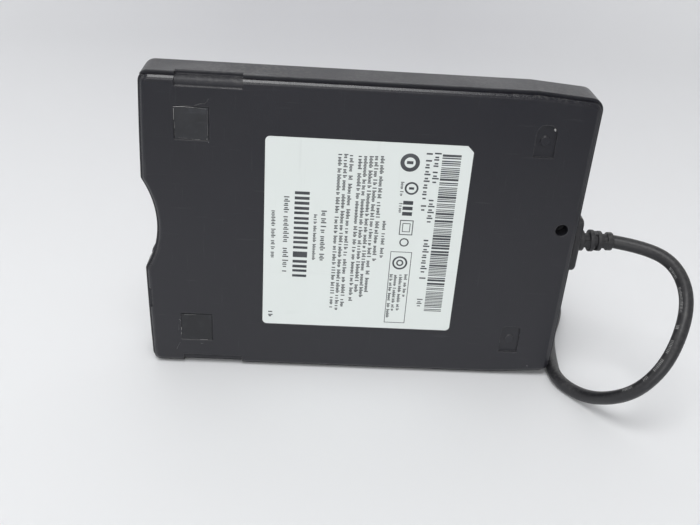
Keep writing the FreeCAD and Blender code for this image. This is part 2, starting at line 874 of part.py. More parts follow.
# ---- front ---------------------------------------------------------------------------------
def front_bezel():
    side = bezel_side_gap * 2 + bezel_gap
    body = slab(bezel_inset, shell_low, roof_in - bezel_gap)
    body = body.common(box(front - overcut, bezel_back, under, top, side, case_width - side))
    half = slot_width / 2
    slot = box(front - overcut, rear, slot_low, slot_high, mid - half, mid + half)
    body = body.cut(slot)
    button_half = button_width / 2 + button_gap
    body = body.cut(box(front - overcut, rear, button_y - button_height / 2 - button_gap,
                        button_y + button_height / 2 + button_gap, button_z - button_half,
                        button_z + button_half))
    lamp_half = lamp_width / 2 + lamp_gap
    body = body.cut(box(front - overcut, rear, lamp_y - lamp_height / 2 - lamp_gap,
                        lamp_y + lamp_height / 2 + lamp_gap, lamp_z - lamp_half, lamp_z + lamp_half))
    near = door_width / 2 + door_gap
    for s in (1, -1):
        z0, z1 = span(s, near + door_gap, near + door_gap + ear_thick)
        ear = box(bezel_back, bezel_back + ear_reach, door_pivot_y - ear_drop, roof_in - bezel_gap, z0, z1)
        hole = rod(door_pin_radius + running_gap, V(door_x, door_pivot_y, z0 - overcut),
                   V(door_x, door_pivot_y, z1 + overcut))
        body = body.fuse(ear).cut(hole)
    return body.removeSplitter()


def slot_door():
    half = door_width / 2
    low = slot_low - door_overlap
    plate = box(door_x - door_thick / 2, door_x + door_thick / 2, low, door_pivot_y, mid - half, mid + half)
    barrel = rod(door_barrel_radius, V(door_x, door_pivot_y, mid - half),
                 V(door_x, door_pivot_y, mid + half))
    reach = half + door_gap + door_pin_length
    pin = rod(door_pin_radius, V(door_x, door_pivot_y, mid - reach), V(door_x, door_pivot_y, mid + reach))
    return fused([plate, barrel, pin])


def door_spring():
    start = mid - door_width / 2 - door_spring_gap
    return ring(door_spring_outer, door_spring_inner, V(door_x, door_pivot_y, start),
                V(door_x, door_pivot_y, start - door_spring_length))


def eject_button():
    y0 = button_y - button_height / 2
    y1 = button_y + button_height / 2
    half = button_width / 2
    face_x = front_x(button_z, bezel_inset) - button_proud
    cap = box(face_x, bezel_back, y0, y1, button_z - half, button_z + half)
    outer = [e for e in cap.Edges if e.BoundBox.XMax < face_x + button_edge / 2]
    cap = cap.makeFillet(button_edge, outer)
    x0 = slide_arm_front
    x1 = x0 + button_block_length
    stem = box(bezel_back, x0, y0, y1, button_z + half - button_stem_width, button_z + half)
    block = box(x0, x1, y0, y1, button_z + half - button_stem_width, mid + slide_inner)
    return fused([cap, stem, block])


def led_lens():
    half = lamp_width / 2
    x0 = front_x(lamp_z, bezel_inset)
    y0 = lamp_y - lamp_height / 2
    return box(x0, chassis_front + overcut, y0, y0 + lamp_height, lamp_z - half, lamp_z + half)


# ---- chassis, cage and slide ---------------------------------------------------------------
def chassis_frame():
    base = box(chassis_front, chassis_rear, chassis_low, chassis_top, mid - chassis_outer,
               mid + chassis_outer)
    base = base.cut(box(stepper_front - bracket_thick - stepper_gap, chassis_rear + overcut, under, top,
                        screw_drive_z - stepper_radius - stepper_gap,
                        screw_drive_z + stepper_radius + stepper_gap))
    frame = base
    for s in (1, -1):
        z0, z1 = span(s, chassis_inner, chassis_outer)
        side = box(chassis_front, chassis_rear, chassis_low, chassis_wall_top, z0, z1)
        for x in cage_pin_x:
            side = side.cut(upright_slot(x, z0, z1))
        frame = frame.fuse(side)
        z = mid + s * eject_spring_spread
        frame = frame.fuse(pillar(eject_post_radius, eject_post_x, z, chassis_top,
                                  eject_spring_y + eject_post_above))
        for x in chassis_screw_x:
            frame = frame.cut(pillar(chassis_screw_radius + screw_gap, x,
                                     mid + s * chassis_screw_spread, under, 0))
    tab_x = stepper_front - bracket_thick
    tab = box(tab_x, stepper_front, chassis_low, screw_drive_y + stepper_radius,
              screw_drive_z - bracket_half,
              screw_drive_z + bracket_half)
    bore = rod(lead_screw_radius + running_gap, V(tab_x - overcut, screw_drive_y, screw_drive_z),
               V(stepper_front + overcut, screw_drive_y, screw_drive_z))
    frame = frame.fuse(tab).cut(bore)
    return frame.cut(pillar(bearing_radius + screw_gap, spindle_x, mid, under, 0)).removeSplitter()


def upright_slot(x, z0, z1):
    """Slot in the chassis wall that keeps a cage pin from moving fore and aft."""
    radius = cage_pin_radius + slot_play
    low = cage_pin_y - disk_drop
    middle = box(x - radius, x + radius, low, cage_pin_y, z0 - overcut, z1 + overcut)
    ends = [rod(radius, V(x, y, z0 - overcut), V(x, y, z1 + overcut)) for y in (low, cage_pin_y)]
    return fused([middle] + ends)


def slanted_slot(x, z0, z1):
    """Slot in the slide plate that lowers a cage pin as the plate moves forward."""
    radius = cage_pin_radius + slot_play
    start = V(x, cage_pin_y, z0 - overcut)
    end = V(x + eject_travel, cage_pin_y - disk_drop, z0 - overcut)
    run = end - start
    side = V(-run.y, run.x, 0).normalize() * radius
    outline = Part.makePolygon([start + side, end + side, end - side, start - side, start + side])
    depth = V(0, 0, z1 - z0 + 2 * overcut)
    middle = Part.Face(outline).extrude(depth)
    ends = [rod(radius, p, p + depth) for p in (start, end)]
    return fused([middle] + ends)


def lever_points():
    """Pivot, resting tip and open tip of the shutter lever, as X and Z."""
    dx = lever_end_x - lever_pivot_x
    dz = -math.sqrt(lever_reach ** 2 - dx ** 2)
    a = math.radians(lever_swing)
    rest = (dx * math.cos(a) + dz * math.sin(a), dz * math.cos(a) - dx * math.sin(a))
    return ((lever_pivot_x, lever_pivot_z), (lever_pivot_x + rest[0], lever_pivot_z + rest[1]),
            (lever_pivot_x + dx, lever_pivot_z + dz))


def lever_slot():
    """Curved slot in the cage's top plate for the lever's pin."""
    (px, pz), rest, end = lever_points()
    half = lever_pin_radius + lever_slot_play
    y0 = holder_under - overcut
    first = math.atan2(rest[1] - pz, rest[0] - px)
    last = math.atan2(end[1] - pz, end[0] - px)
    past = math.copysign(half / lever_reach, last - first)

    def at(radius, angle):
        return V(px + radius * math.cos(angle), y0, pz + radius * math.sin(angle))

    outer = lever_reach + half
    inner = lever_reach - half
    middle = (first + last) / 2
    arcs = [Part.Arc(at(outer, first), at(outer, middle), at(outer, last)),
            Part.Arc(at(outer, last), at(lever_reach, last + past), at(inner, last)),
            Part.Arc(at(inner, last), at(inner, middle), at(inner, first)),
            Part.Arc(at(inner, first), at(lever_reach, first - past), at(outer, first))]
    face = Part.Face(Part.Wire([arc.toShape() for arc in arcs]))
    return face.extrude(V(0, holder_top + overcut - y0, 0))


def disk_holder():
    plate = box(holder_front, holder_side_rear, holder_under, holder_top, mid - holder_outer,
                mid + holder_outer)
    tail = box(holder_side_rear, holder_rear, holder_under, holder_top,
               *span(1, holder_tail_in - disk_half, disk_half - holder_tail_in))
    cage = plate.fuse(tail)
    for s in (1, -1):
        z0, z1 = span(s, holder_inner, holder_outer)
        cage = cage.fuse(box(holder_front, holder_side_rear, holder_flange_low, holder_top, z0, z1))
        z0, z1 = span(s, holder_inner - flange_width, holder_outer)
        cage = cage.fuse(box(holder_front, holder_side_rear, holder_flange_low, holder_flange_top, z0, z1))
        for x in cage_pin_x:
            a = V(x, cage_pin_y, mid + s * (holder_outer - sheet / 2))
            b = V(x, cage_pin_y, mid + s * (chassis_outer + cage_pin_reach))
            cage = cage.fuse(rod(cage_pin_radius, a, b))
    cage = cage.cut(box(spindle_x + arm_window_back, holder_rear + overcut, holder_under - overcut,
                        holder_top + overcut, mid - arm_window_half, mid + arm_window_half))
    cage = cage.cut(pillar(hub_window_radius, spindle_x, mid, holder_under - overcut, holder_top + overcut))
    cage = cage.cut(lever_slot())
    near = disk_half - stop_in
    z0, z1 = span(-1, near, near + stop_width)
    return cage.fuse(box(stop_x, stop_x + stop_thick, disk_raised, holder_under, z0, z1)).removeSplitter()


def slide_plate():
    band = box(slide_front, slide_front + slide_band, slide_under, slide_top, mid - slide_outer,
               mid + slide_outer)
    plate = band
    for s in (1, -1):
        near = slide_rail_half
        z0, z1 = span(s, near, slide_outer)
        plate = plate.fuse(box(slide_front + slide_band, slide_rear, slide_under, slide_top, z0, z1))
        z0, z1 = span(s, slide_inner, slide_outer)
        flange = box(slide_front, slide_rear, chassis_top + slide_low_rise, slide_top, z0, z1)
        for x in cage_pin_x:
            flange = flange.cut(slanted_slot(x, z0, z1))
        plate = plate.fuse(flange)
        z0, z1 = span(s, eject_spring_spread - eject_spring_radius, slide_outer)
        plate = plate.fuse(box(slide_rear, slide_rear + tab_thick, eject_spring_y - tab_below,
                               slide_top, z0, z1))
    z0, z1 = span(1, slide_rail_half - overcut, disk_half)
    plate = plate.cut(box(spindle_x + slide_lever_back, slide_rear + overcut, slide_under - overcut,
                          slide_top + overcut, z0, z1))
    z0, z1 = span(1, slide_inner, slide_outer)
    arm = box(slide_arm_front, slide_front + slide_arm_root, chassis_top + slide_arm_low_rise,
              chassis_top + slide_arm_top_rise, z0, z1)
    return plate.fuse(arm).removeSplitter()


def eject_springs():
    springs = []
    for s in (1, -1):
        z = mid + s * eject_spring_spread
        start = slide_rear + tab_thick
        end = eject_post_x - eject_post_radius - screw_gap
        inner = eject_spring_radius - eject_spring_wire
        springs.append(ring(eject_spring_radius, inner, V(start, eject_spring_y, z),
                            V(end, eject_spring_y, z)))
    return springs


def shutter_lever():
    (px, pz), (tx, tz), _ = lever_points()
    y0 = holder_top + lever_lift
    y1 = y0 + lever_thick
    along = V(tx - px, 0, tz - pz).normalize()
    across = V(-along.z, 0, along.x)
    pivot = V(px, y0, pz)
    tip = V(tx, y0, tz)
    hub_side = across * (lever_hub_radius - lever_edge_in)
    tip_side = across * (lever_tip_radius - lever_edge_in / 2)
    outline = [pivot + hub_side, tip + tip_side, tip - tip_side, pivot - hub_side, pivot + hub_side]
    arm = Part.Face(Part.makePolygon(outline)).extrude(V(0, lever_thick, 0))
    arm = fused([arm, pillar(lever_hub_radius, px, pz, y0, y1), pillar(lever_tip_radius, tx, tz, y0, y1),
                 pillar(lever_pin_radius, tx, tz, lever_pin_low, y1)])
    return arm.cut(pillar(lever_post_radius + running_gap, px, pz, y0 - overcut, y1 + overcut))


def lever_post():
    head = lever_spring_low() + lever_spring_wire + lever_lift
    post = pillar(lever_post_radius, lever_pivot_x, lever_pivot_z, holder_top, head + lever_post_head_thick)
    disc = pillar(lever_post_head, lever_pivot_x, lever_pivot_z, head, head + lever_post_head_thick)
    return post.fuse(disc).removeSplitter()


def lever_spring_low():
    return holder_top + lever_lift + lever_thick + running_gap


def lever_spring():
    start = V(lever_pivot_x, lever_spring_low(), lever_pivot_z)
    end = start + V(0, lever_spring_wire, 0)
    inner = lever_post_radius + lever_spring_wire
    return ring(inner + lever_spring_wire, inner, start, end)


# ---- spindle motor -------------------------------------------------------------------------
def on_board(x, z, part):
    """A plain block on a board whose corner is at x and z: start X and Z, length, width, height."""
    dx, dz, length, width, height = part
    return box(x + dx, x + dx + length, board_top, board_top + height, z + dz, z + dz + width)


def spindle_board():
    x = spindle_board_front
    board = box(x, spindle_board_rear, chassis_top, board_top,
                *span(1, spindle_board_in - disk_half, disk_half - spindle_board_in))
    board = board.cut(pillar(bearing_radius + spindle_board_hole_gap, spindle_x, mid, under, top))
    length, width, height = lamp_chip
    lamp = on_board(x, lamp_z, (0, -width / 2, length, width, height))
    driver = on_board(x, mid, driver_chip)
    length, width, height = hall_chip
    hall_x = spindle_x - rotor_radius - hall_chip_gap - length
    halls = [on_board(hall_x, mid, (0, z, length, width, height)) for z in hall_chip_spread]
    return fused([board, lamp, driver] + halls)


def turned(shape, degrees):
    """A copy of the shape, turned about the spindle."""
    copy = shape.copy()
    copy.rotate(V(spindle_x, 0, mid), V(0, 1, 0), degrees)
    return copy


def stator_core():
    y0 = stator_low
    y1 = y0 + stator_thick
    core = ring(stator_ring, stator_inner, V(spindle_x, y0, mid), V(spindle_x, y1, mid))
    x = spindle_x
    tooth = box(x + stator_ring - overcut, x + stator_outer - stator_shoe / 2, y0, y1,
                mid - tooth_width / 2,
                mid + tooth_width / 2)
    shoe = ring(stator_outer, stator_outer - stator_shoe, V(x, y0, mid), V(x, y1, mid))
    shoe = shoe.common(box(x, x + stator_outer, y0, y1, mid - 2 * tooth_width, mid + 2 * tooth_width))
    parts = [core]
    for k in range(stator_teeth):
        parts += [turned(tooth, 360 * k / stator_teeth), turned(shoe, 360 * k / stator_teeth)]
    return fused(parts)


def stator_coils():
    x = spindle_x
    half = tooth_width / 2
    y0 = stator_low
    y1 = y0 + stator_thick
    wound = box(x + coil_inner, x + coil_outer, y0 - coil_wall_under, y1 + coil_wall,
                mid - half - coil_wall,
                mid + half + coil_wall)
    wound = wound.cut(box(x, x + stator_outer, y0, y1, mid - half, mid + half))
    return [turned(wound, 360 * k / stator_teeth) for k in range(stator_teeth)]


def spindle_bearing():
    body = pillar(bearing_radius, spindle_x, mid, floor_in + bearing_lift, chassis_top + bearing_top_rise)
    bore_low = chassis_top + shaft_low_rise - running_gap
    return body.cut(pillar(shaft_radius + running_gap, spindle_x, mid, bore_low, top))


def rotor_cup():
    disc = pillar(rotor_radius, spindle_x, mid, rotor_low, rotor_top)
    hollow = pillar(rotor_radius - rotor_sheet, spindle_x, mid, rotor_low - overcut,
                    rotor_top - rotor_sheet)
    return disc.cut(hollow).cut(pillar(shaft_radius + magnet_gap, spindle_x, mid, under, top))


def rotor_magnet():
    outer = rotor_radius - rotor_sheet - magnet_gap
    start = V(spindle_x, rotor_low + magnet_lift, mid)
    end = V(spindle_x, rotor_top - rotor_sheet, mid)
    return ring(outer, outer - magnet_thick, start, end)


def spindle_hub():
    disc = pillar(hub_radius, spindle_x, mid, rotor_top, hub_top)
    shaft = pillar(shaft_radius, spindle_x, mid, chassis_top + shaft_low_rise, hub_top)
    pin = pillar(hub_pin_radius, spindle_x, mid, rotor_top, hub_top + hub_pin_height)
    pin = pin.makeChamfer(hub_pin_chamfer, edges_at(pin, hub_top + hub_pin_height))
    return fused([disc, shaft, pin])


def drive_pin():
    return pillar(drive_pin_radius, spindle_x + drive_pin_orbit, mid, hub_top, hub_top + drive_pin_height)


# ---- head carriage --------------------------------------------------------------------------
def guide_rods():
    return [rod(rod_radius, V(rod_front, rod_y, z), V(rod_rear, rod_y, z))
            for z in (mid + rod_spread_high, mid - rod_spread_low)]


def rod_clamps():
    clamps = []
    for z in (mid + rod_spread_high, mid - rod_spread_low):
        hole = rod(rod_radius + screw_gap, V(front, rod_y, z), V(rear, rod_y, z))
        for x in (rod_front, rod_rear - clamp_length):
            reach = clamp_half if z > mid else clamp_half - clamp_trim
            block = box(x, x + clamp_length, chassis_top, clamp_top, z - clamp_half, z + reach)
            clamps.append(block.cut(hole))
    return clamps


def head_carriage():
    plate = box(carriage_front, carriage_rear, carriage_low, carriage_top, mid - carriage_half,
                mid + carriage_half)
    high = mid + rod_spread_high
    low = mid - rod_spread_low
    lug = box(lug_front, lug_rear, chassis_top + lug_low_rise, chassis_top + lug_top_rise,
              mid + carriage_half - weld, high + lug_half)
    block = box(hinge_block_front, carriage_rear, carriage_top, hinge_block_top, mid - carriage_half,
                mid + carriage_half)
    parts = [plate, lug, block]
    for s in (1, -1):
        z0, z1 = span(s, carriage_half - hinge_ear_thick, carriage_half)
        parts.append(box(hinge_block_front, carriage_rear, hinge_block_top,
                         chassis_top + hinge_ear_rise, z0, z1))
    arm_z = screw_drive_z + lead_screw_radius + lug_gap
    low_side = mid - carriage_half
    x1 = follower_x + follower_length
    bridge_low = follower_top - follower_thick
    parts.append(box(follower_x, x1, bridge_low, follower_top, arm_z, low_side + weld))
    parts.append(box(follower_x, x1, screw_drive_y - follower_tooth, follower_top, arm_z, arm_z + lug_in))
    parts.append(box(follower_x, x1, carriage_top - follower_tooth, follower_top, low_side,
                     low_side + weld))
    parts.append(box(lug_front, lug_rear, rod_y + rod_radius + lug_gap, follower_top, low + lug_in,
                     low_side + weld))
    parts.append(box(flag_x, flag_x + flag_length, chassis_top + flag_low_rise, chassis_top + flag_top_rise,
                     high + lug_half - follower_tooth, mid + flag_off_middle))
    body = fused(parts)
    for z in (high, low):
        body = body.cut(rod(rod_radius + running_gap, V(front, rod_y, z), V(rear, rod_y, z)))
    pin = rod(hinge_pin_radius + running_gap, V(hinge_x, hinge_y, 0), V(hinge_x, hinge_y, case_width))
    return body.cut(pin)


def lower_head():
    half = lower_head_size / 2
    return box(head_x - half, head_x + half, carriage_top, media_loaded - media_half_gap, mid - half,
               mid + half)


def raised(shape):
    """A copy of the shape, lifted from its working position to the position with no disk."""
    copy = shape.copy()
    copy.rotate(V(hinge_x, hinge_y, mid), V(0, 0, 1), -arm_raise)
    return copy


def upper_head_arm():
    plate = box(spindle_x + arm_front_back, hinge_x, arm_low, arm_low + arm_thick, mid - arm_half,
                mid + arm_half)
    knuckle = rod(knuckle_radius, V(hinge_x, hinge_y, mid - knuckle_half),
                  V(hinge_x, hinge_y, mid + knuckle_half))
    post = box(wing_x, wing_x + wing_length, arm_low, wing_low + wing_thick, mid - arm_half, mid + arm_half)
    wings = box(wing_x, wing_x + wing_length, wing_low, wing_low + wing_thick, mid - wing_half,
                mid + wing_half)
    arm = fused([plate, knuckle, post, wings])
    bore = rod(hinge_pin_radius + running_gap, V(hinge_x, hinge_y, 0), V(hinge_x, hinge_y, case_width))
    return raised(arm.cut(bore))


def upper_head():
    half = lower_head_size / 2
    return raised(box(head_x - half, head_x + half, media_loaded + media_half_gap, arm_low, mid - half,
                      mid + half))


def arm_pivot_pin():
    return rod(hinge_pin_radius, V(hinge_x, hinge_y, mid - carriage_half),
               V(hinge_x, hinge_y, mid + carriage_half))


def arm_spring():
    start = V(hinge_x, hinge_y, mid + knuckle_half + arm_spring_side_gap)
    end = V(hinge_x, hinge_y, mid + carriage_half - hinge_ear_thick - arm_spring_side_gap)
    inner = hinge_pin_radius + arm_spring_gap
    return ring(inner + arm_spring_wire, inner, start, end)


def on_screw(x):
    """The point on the lead screw's axis at this depth."""
    return V(x, screw_drive_y, screw_drive_z)


def lead_screw():
    screw = rod(lead_screw_radius, on_screw(lead_screw_front), on_screw(stepper_front))
    grooved = stepper_front - lead_screw_front - 2 * screw_plain_end
    for k in range(int(grooved / screw_pitch)):
        x = lead_screw_front + screw_plain_end + screw_pitch * k
        screw = screw.cut(ring(lead_screw_radius + overcut, lead_screw_radius - screw_groove_depth,
                               on_screw(x),
                               on_screw(x + screw_groove)))
    return screw


def screw_bearing():
    x = lead_screw_front
    half = screw_bearing_half
    block = box(x, x + screw_bearing_length, chassis_top, screw_drive_y + screw_bearing_top,
                screw_drive_z - half, screw_drive_z + half)
    bore = rod(lead_screw_radius + running_gap, on_screw(x - overcut),
               on_screw(x + screw_bearing_length + overcut))
    return block.cut(bore)


def stepper_motor():
    start = on_screw(stepper_front)
    can = rod(stepper_radius, start, on_screw(stepper_front + stepper_length))
    mouth = rod(lead_screw_radius + side_gap, start, on_screw(stepper_front + stepper_mouth))
    offset, length, width = stepper_terminal
    z = screw_drive_z + stepper_radius - running_gap - width / 2
    x = stepper_front + offset
    terminal = box(x, x + length, screw_drive_y - stepper_terminal_low,
                   screw_drive_y + stepper_terminal_high,
                   z, z + width)
    return fused([can, terminal]).cut(mouth)


def track_zero_sensor():
    far = sensor_near + sensor_width
    body = box(sensor_x, sensor_x + sensor_length, board_top, chassis_top + sensor_top_rise,
               sensor_near, far)
    slot_end = mid + flag_off_middle + sensor_slot_gap
    return body.cut(box(sensor_x - overcut, sensor_x + sensor_length + overcut,
                        chassis_top + sensor_slot_low_rise,
                        chassis_top + sensor_slot_top_rise, sensor_near - overcut, slot_end))


def flex_far():
    """Z of the flat ribbon's far leg, where it meets its socket."""
    return mid + carriage_half + flex_thick + 2 * flex_radius


def head_flex():
    """Flat ribbon that loops behind the carriage to the main board."""
    z0 = mid + carriage_half
    centre_z = z0 + flex_thick + flex_radius
    x = carriage_rear + flex_stand
    loop = ring(flex_radius + flex_thick, flex_radius, V(x, flex_low, centre_z), V(x, flex_high, centre_z))
    loop = loop.common(box(x, rear, flex_low, flex_high, 0, case_width))
    near = box(carriage_rear - flex_leg, x, flex_low, flex_high, z0, z0 + flex_thick)
    far = box(carriage_rear - flex_leg, x, flex_low, flex_high, flex_far(), flex_far() + flex_thick)
    return fused([loop, near, far])


# ---- boards and switches ---------------------------------------------------------------------
def main_board():
    return box(main_board_front, main_board_rear, chassis_top, board_top, main_board_near, main_board_far)


def main_board_chips():
    blocks = [on_board(main_board_front, main_board_near, chip) for chip in main_chips]
    far_z = flex_far() + flex_thick
    blocks.append(box(carriage_rear - flex_leg, carriage_rear - flex_stand, board_top, flex_high, far_z,
                      far_z + flex_socket_width))
    z = main_board_near + ribbon_socket_start
    blocks.append(box(main_board_rear - ribbon_socket_length, main_board_rear, board_top, ribbon_high, z,
                      z + ribbon_socket_width))
    return blocks


def usb_board():
    return box(usb_board_front, usb_board_rear, chassis_top, board_top, usb_board_near, usb_board_far)


def usb_board_parts():
    blocks = [on_board(usb_board_front, usb_board_near, chip) for chip in usb_chips]
    z = usb_board_near + usb_socket_start
    blocks.append(box(usb_board_front, usb_board_front + usb_socket_depth, board_top, ribbon_high, z,
                      z + ribbon_socket_width))
    return blocks


def lead_connector():
    offset, length, width, height = lead_connector_box
    z1 = usb_board_far - lead_connector_from_end
    x = usb_board_front + offset
    return box(x, x + length, board_top, board_top + height, z1 - width, z1)


def lead_wires():
    wires = []
    start_z = usb_board_far - lead_connector_from_end + wire_start_gap
    for k in range(wire_count):
        x = usb_board_front + lead_connector_box[0] + 2 * wire_radius + wire_pitch * k
        y = board_top + wire_rise + wire_step * k
        end = V(rear - wall - inner_flange - wire_end_gap, y, start_z + wire_spread + wire_pitch * k)
        wires.append(rod(wire_radius, V(x, y, start_z), end))
    return wires


def board_ribbon():
    half = ribbon_thick / 2
    z0 = usb_board_near + usb_socket_start
    z1 = main_board_near + ribbon_socket_start + ribbon_end_in
    run = box(ribbon_x - half, ribbon_x + half, ribbon_low, ribbon_high, z0, z1)
    leg = box(main_board_rear, ribbon_x + half, ribbon_low, ribbon_high, z1 - ribbon_thick, z1)
    link = box(ribbon_x - half, usb_board_front, ribbon_low, ribbon_high, z0, z0 + ribbon_thick)
    return fused([run, leg, link])


def switch_z(edge_in, side):
    return mid + side * (disk_half - edge_in)


def sense_switches():
    bodies = []
    for _, edge_in, side in switches:
        z = switch_z(edge_in, side)
        body = box(switch_x - switch_length / 2, switch_x + switch_length / 2, board_top, switch_top,
                   z - switch_width / 2, z + switch_width / 2)
        body = body.cut(pillar(plunger_radius + running_gap, switch_x, z, under, top))
        well = pillar(plunger_collar + running_gap, switch_x, z, board_top + switch_floor,
                      switch_top - switch_lid)
        bodies.append(body.cut(well))
    return bodies


def plunger(edge_in, side):
    z = switch_z(edge_in, side)
    stem = pillar(plunger_radius, switch_x, z, switch_top - plunger_root, disk_raised - plunger_below_disk)
    collar = pillar(plunger_collar, switch_x, z, switch_top - plunger_collar_low,
                    switch_top - plunger_collar_high)
    return fused([stem, collar])


def chassis_screws():
    screws = []
    for x in chassis_screw_x:
        for z in span(1, -chassis_screw_spread, chassis_screw_spread):
            head = pillar(chassis_screw_head, x, z, chassis_top, chassis_top + chassis_screw_head_height)
            shank = pillar(chassis_screw_radius, x, z, chassis_top - chassis_screw_length, chassis_top)
            screws.append(fused([head, shank]))
    return screws


# ---- lead --------------------------------------------------------------------------------------
def cable_gland():
    flange = box(rear, rear + gland_flange, -gland_half_height, gland_half_height, mid - gland_half_low,
                 mid + gland_half_high)
    corners = [e for e in flange.Edges if e.BoundBox.XLength > gland_flange / 2]
    flange = flange.makeFillet(gland_corner, corners)
    rim = [e for e in flange.Edges if e.BoundBox.XMin > rear + gland_flange - same_place]
    flange = flange.makeFillet(gland_rim_round, rim)
    inner_x = rear - wall - inner_flange
    neck = box(inner_x, rear + gland_root, neck_low, neck_high, mid - neck_half, mid + neck_half)
    inner = box(inner_x, rear - wall - screw_gap, neck_low - inner_flange_below,
                neck_high + inner_flange_above, mid - inner_flange_low,
                mid + inner_flange_high)
    return fused([flange, neck, inner])


def cable_boot():
    start = boot_start

    def disc(radius, x0, x1):
        return rod(radius, V(start + x0, boot_y, mid), V(start + x1, boot_y, mid))

    parts = [disc(boot_core, 0, boot_end - boot_tip + boot_lap),
             disc(boot_end_radius, boot_end - boot_tip, boot_end)]
    for x, length, radius in boot_rings:
        turned = disc(radius, x, x + length)
        parts.append(turned.makeFillet(boot_ring_round, [e for e in turned.Edges if e.Closed]))
    for x, length, way in boot_webs:
        dy, dz = (web_reach, web_half) if way == "y" else (web_half, web_reach)
        parts.append(box(start + x - boot_lap, start + x + length + boot_lap, boot_y - dy, boot_y + dy,
                         mid - dz, mid + dz))
    return fused(parts)


def bend_radius(a, b, c):
    """Radius of the arc that joins two runs, as large as the shorter run allows."""
    u = (b - a).normalize()
    w = (c - b).normalize()
    turn = math.acos(max(-1.0, min(1.0, u.dot(w))))
    return bend_share * min((b - a).Length, (c - b).Length) / math.tan(turn / 2), turn


def tube(name, route):
    """Round tube along straight runs joined by tangent arcs."""
    points = route
    edges = []
    here = points[0]
    radii = []
    for a, b, c in zip(points, points[1:], points[2:]):
        radius, turn = bend_radius(a, b, c)
        radii.append(round(radius, 1))
        cut = radius * math.tan(turn / 2)
        start = b + (a - b).normalize() * cut
        end = b + (c - b).normalize() * cut
        bisector = ((a - b).normalize() + (c - b).normalize()).normalize()
        centre = b + bisector * (radius / math.cos(turn / 2))
        middle = centre - bisector * radius
        edges.append(Part.LineSegment(here, start).toShape())
        edges.append(Part.Arc(start, middle, end).toShape())
        here = end
    edges.append(Part.LineSegment(here, points[-1]).toShape())
    path = Part.Wire(edges)
    first = points[1] - points[0]
    section = Part.Wire(Part.makeCircle(cord_radius, points[0], first))
    solid = path.makePipeShell([section], True, False)
    ideal = math.pi * cord_radius ** 2 * path.Length
    print(name, "radii", radii, "length", round(path.Length, 1), "volume ratio",
          round(solid.Volume / ideal, 4))
    return solid


def tie_box(outward):
    """The cable tie's outer block, or what it encloses when outward is negative."""
    mean = (coil_outer_radius + coil_inner_radius) / 2
    half = (coil_outer_radius - coil_inner_radius) / 2 + tie_gap + outward
    x = coil_x - mean
    low = tie_thick - outward
    return box(x - half, x + half, coil_y - tie_width / 2, coil_y + tie_width / 2, low,
               coil_height + tie_gap + outward)


def cable_coil():
    base = V(coil_x, coil_y, 0)
    body = ring(coil_outer_radius, coil_inner_radius, base, base + V(0, 0, coil_height))
    rounded = [e for e in body.Edges if e.BoundBox.ZLength < tie_gap]
    body = body.makeFillet(coil_edge, rounded)
    groove = tie_box(tie_thick)
    kept = tie_box(0)
    return body.cut(groove.cut(kept))


def cable_tie():
    return tie_box(tie_thick).cut(tie_box(0))


def plug_body():
    y = plug_start.y
    nose = Part.makeCone(plug_nose_radius, plug_nose_wide, plug_nose, plug_start, V(-1, 0, 0))
    half = plug_body_width / 2
    body = box(plug_back, plug_nose_end, y - half, y + half, 0, plug_body_height)
    long_edges = [e for e in body.Edges if e.BoundBox.XLength > plug_body_length / 2]
    return fused([body.makeFillet(plug_edge, long_edges), nose])


def shell_box(inset, overrun):
    half_w = plug_shell_width / 2 - inset
    half_h = plug_shell_height / 2 - inset
    return box(plug_back - plug_shell_length - overrun, plug_back, plug_start.y - half_w,
               plug_start.y + half_w,
               plug_axis_z - half_h, plug_axis_z + half_h)


def plug_shell():
    shell = shell_box(0, 0).cut(shell_box(plug_shell_wall, overcut))
    x = plug_back - plug_hole_start
    for across in (plug_hole_spread, -plug_hole_spread):
        y = plug_start.y + across
        shell = shell.cut(box(x, x + plug_hole_length, y - plug_hole_half, y + plug_hole_half, 0,
                              plug_body_height))
    return shell


def plug_contacts():
    y = plug_start.y
    half = plug_shell_width / 2 - plug_shell_wall - tongue_gap
    z0 = plug_axis_z - plug_shell_height / 2 + plug_shell_wall + tongue_gap
    end = plug_back - plug_shell_length
    parts = [box(end + tongue_back, plug_back, y - half, y + half, z0, z0 + tongue_height)]
    first = y - contact_pitch * (contact_count - 1) / 2
    for k in range(contact_count):
        cy = first + contact_pitch * k
        parts.append(box(end + contact_back, plug_back, cy - contact_half, cy + contact_half, z0,
                         z0 + tongue_height + contact_proud))
    return fused(parts)


# ---- nodes -----------------------------------------------------------------------------------
os.makedirs("parts", exist_ok=True)

save("top_cover", top_cover())
save("bottom_cover", bottom_cover())
save("rating_label", label_plate(0, label_thick))
save("foot_pads", *both_sides(lambda side: pad(side, 0)))
save("case_screw", case_screw())
save("front_bezel", front_bezel())
save("slot_door", slot_door())
save("door_spring", door_spring())
save("eject_button", eject_button())
save("led_lens", led_lens())
save("chassis_frame", chassis_frame())
save("chassis_screws", *chassis_screws())
save("disk_holder", disk_holder())
save("slide_plate", slide_plate())
save("eject_springs", *eject_springs())
save("shutter_lever", shutter_lever())
save("lever_post", lever_post())
save("lever_spring", lever_spring())
save("spindle_board", spindle_board())
save("stator_core", stator_core())
save("stator_coils", *stator_coils())
save("spindle_bearing", spindle_bearing())
save("rotor_cup", rotor_cup())
save("rotor_magnet", rotor_magnet())
save("spindle_hub", spindle_hub())
save("drive_pin", drive_pin())
save("guide_rods", *guide_rods())
save("rod_clamps", *rod_clamps())
save("head_carriage", head_carriage())
save("lower_head", lower_head())
save("upper_head_arm", upper_head_arm())
save("upper_head", upper_head())
save("arm_pivot_pin", arm_pivot_pin())
save("arm_spring", arm_spring())
save("lead_screw", lead_screw())
save("screw_bearing", screw_bearing())
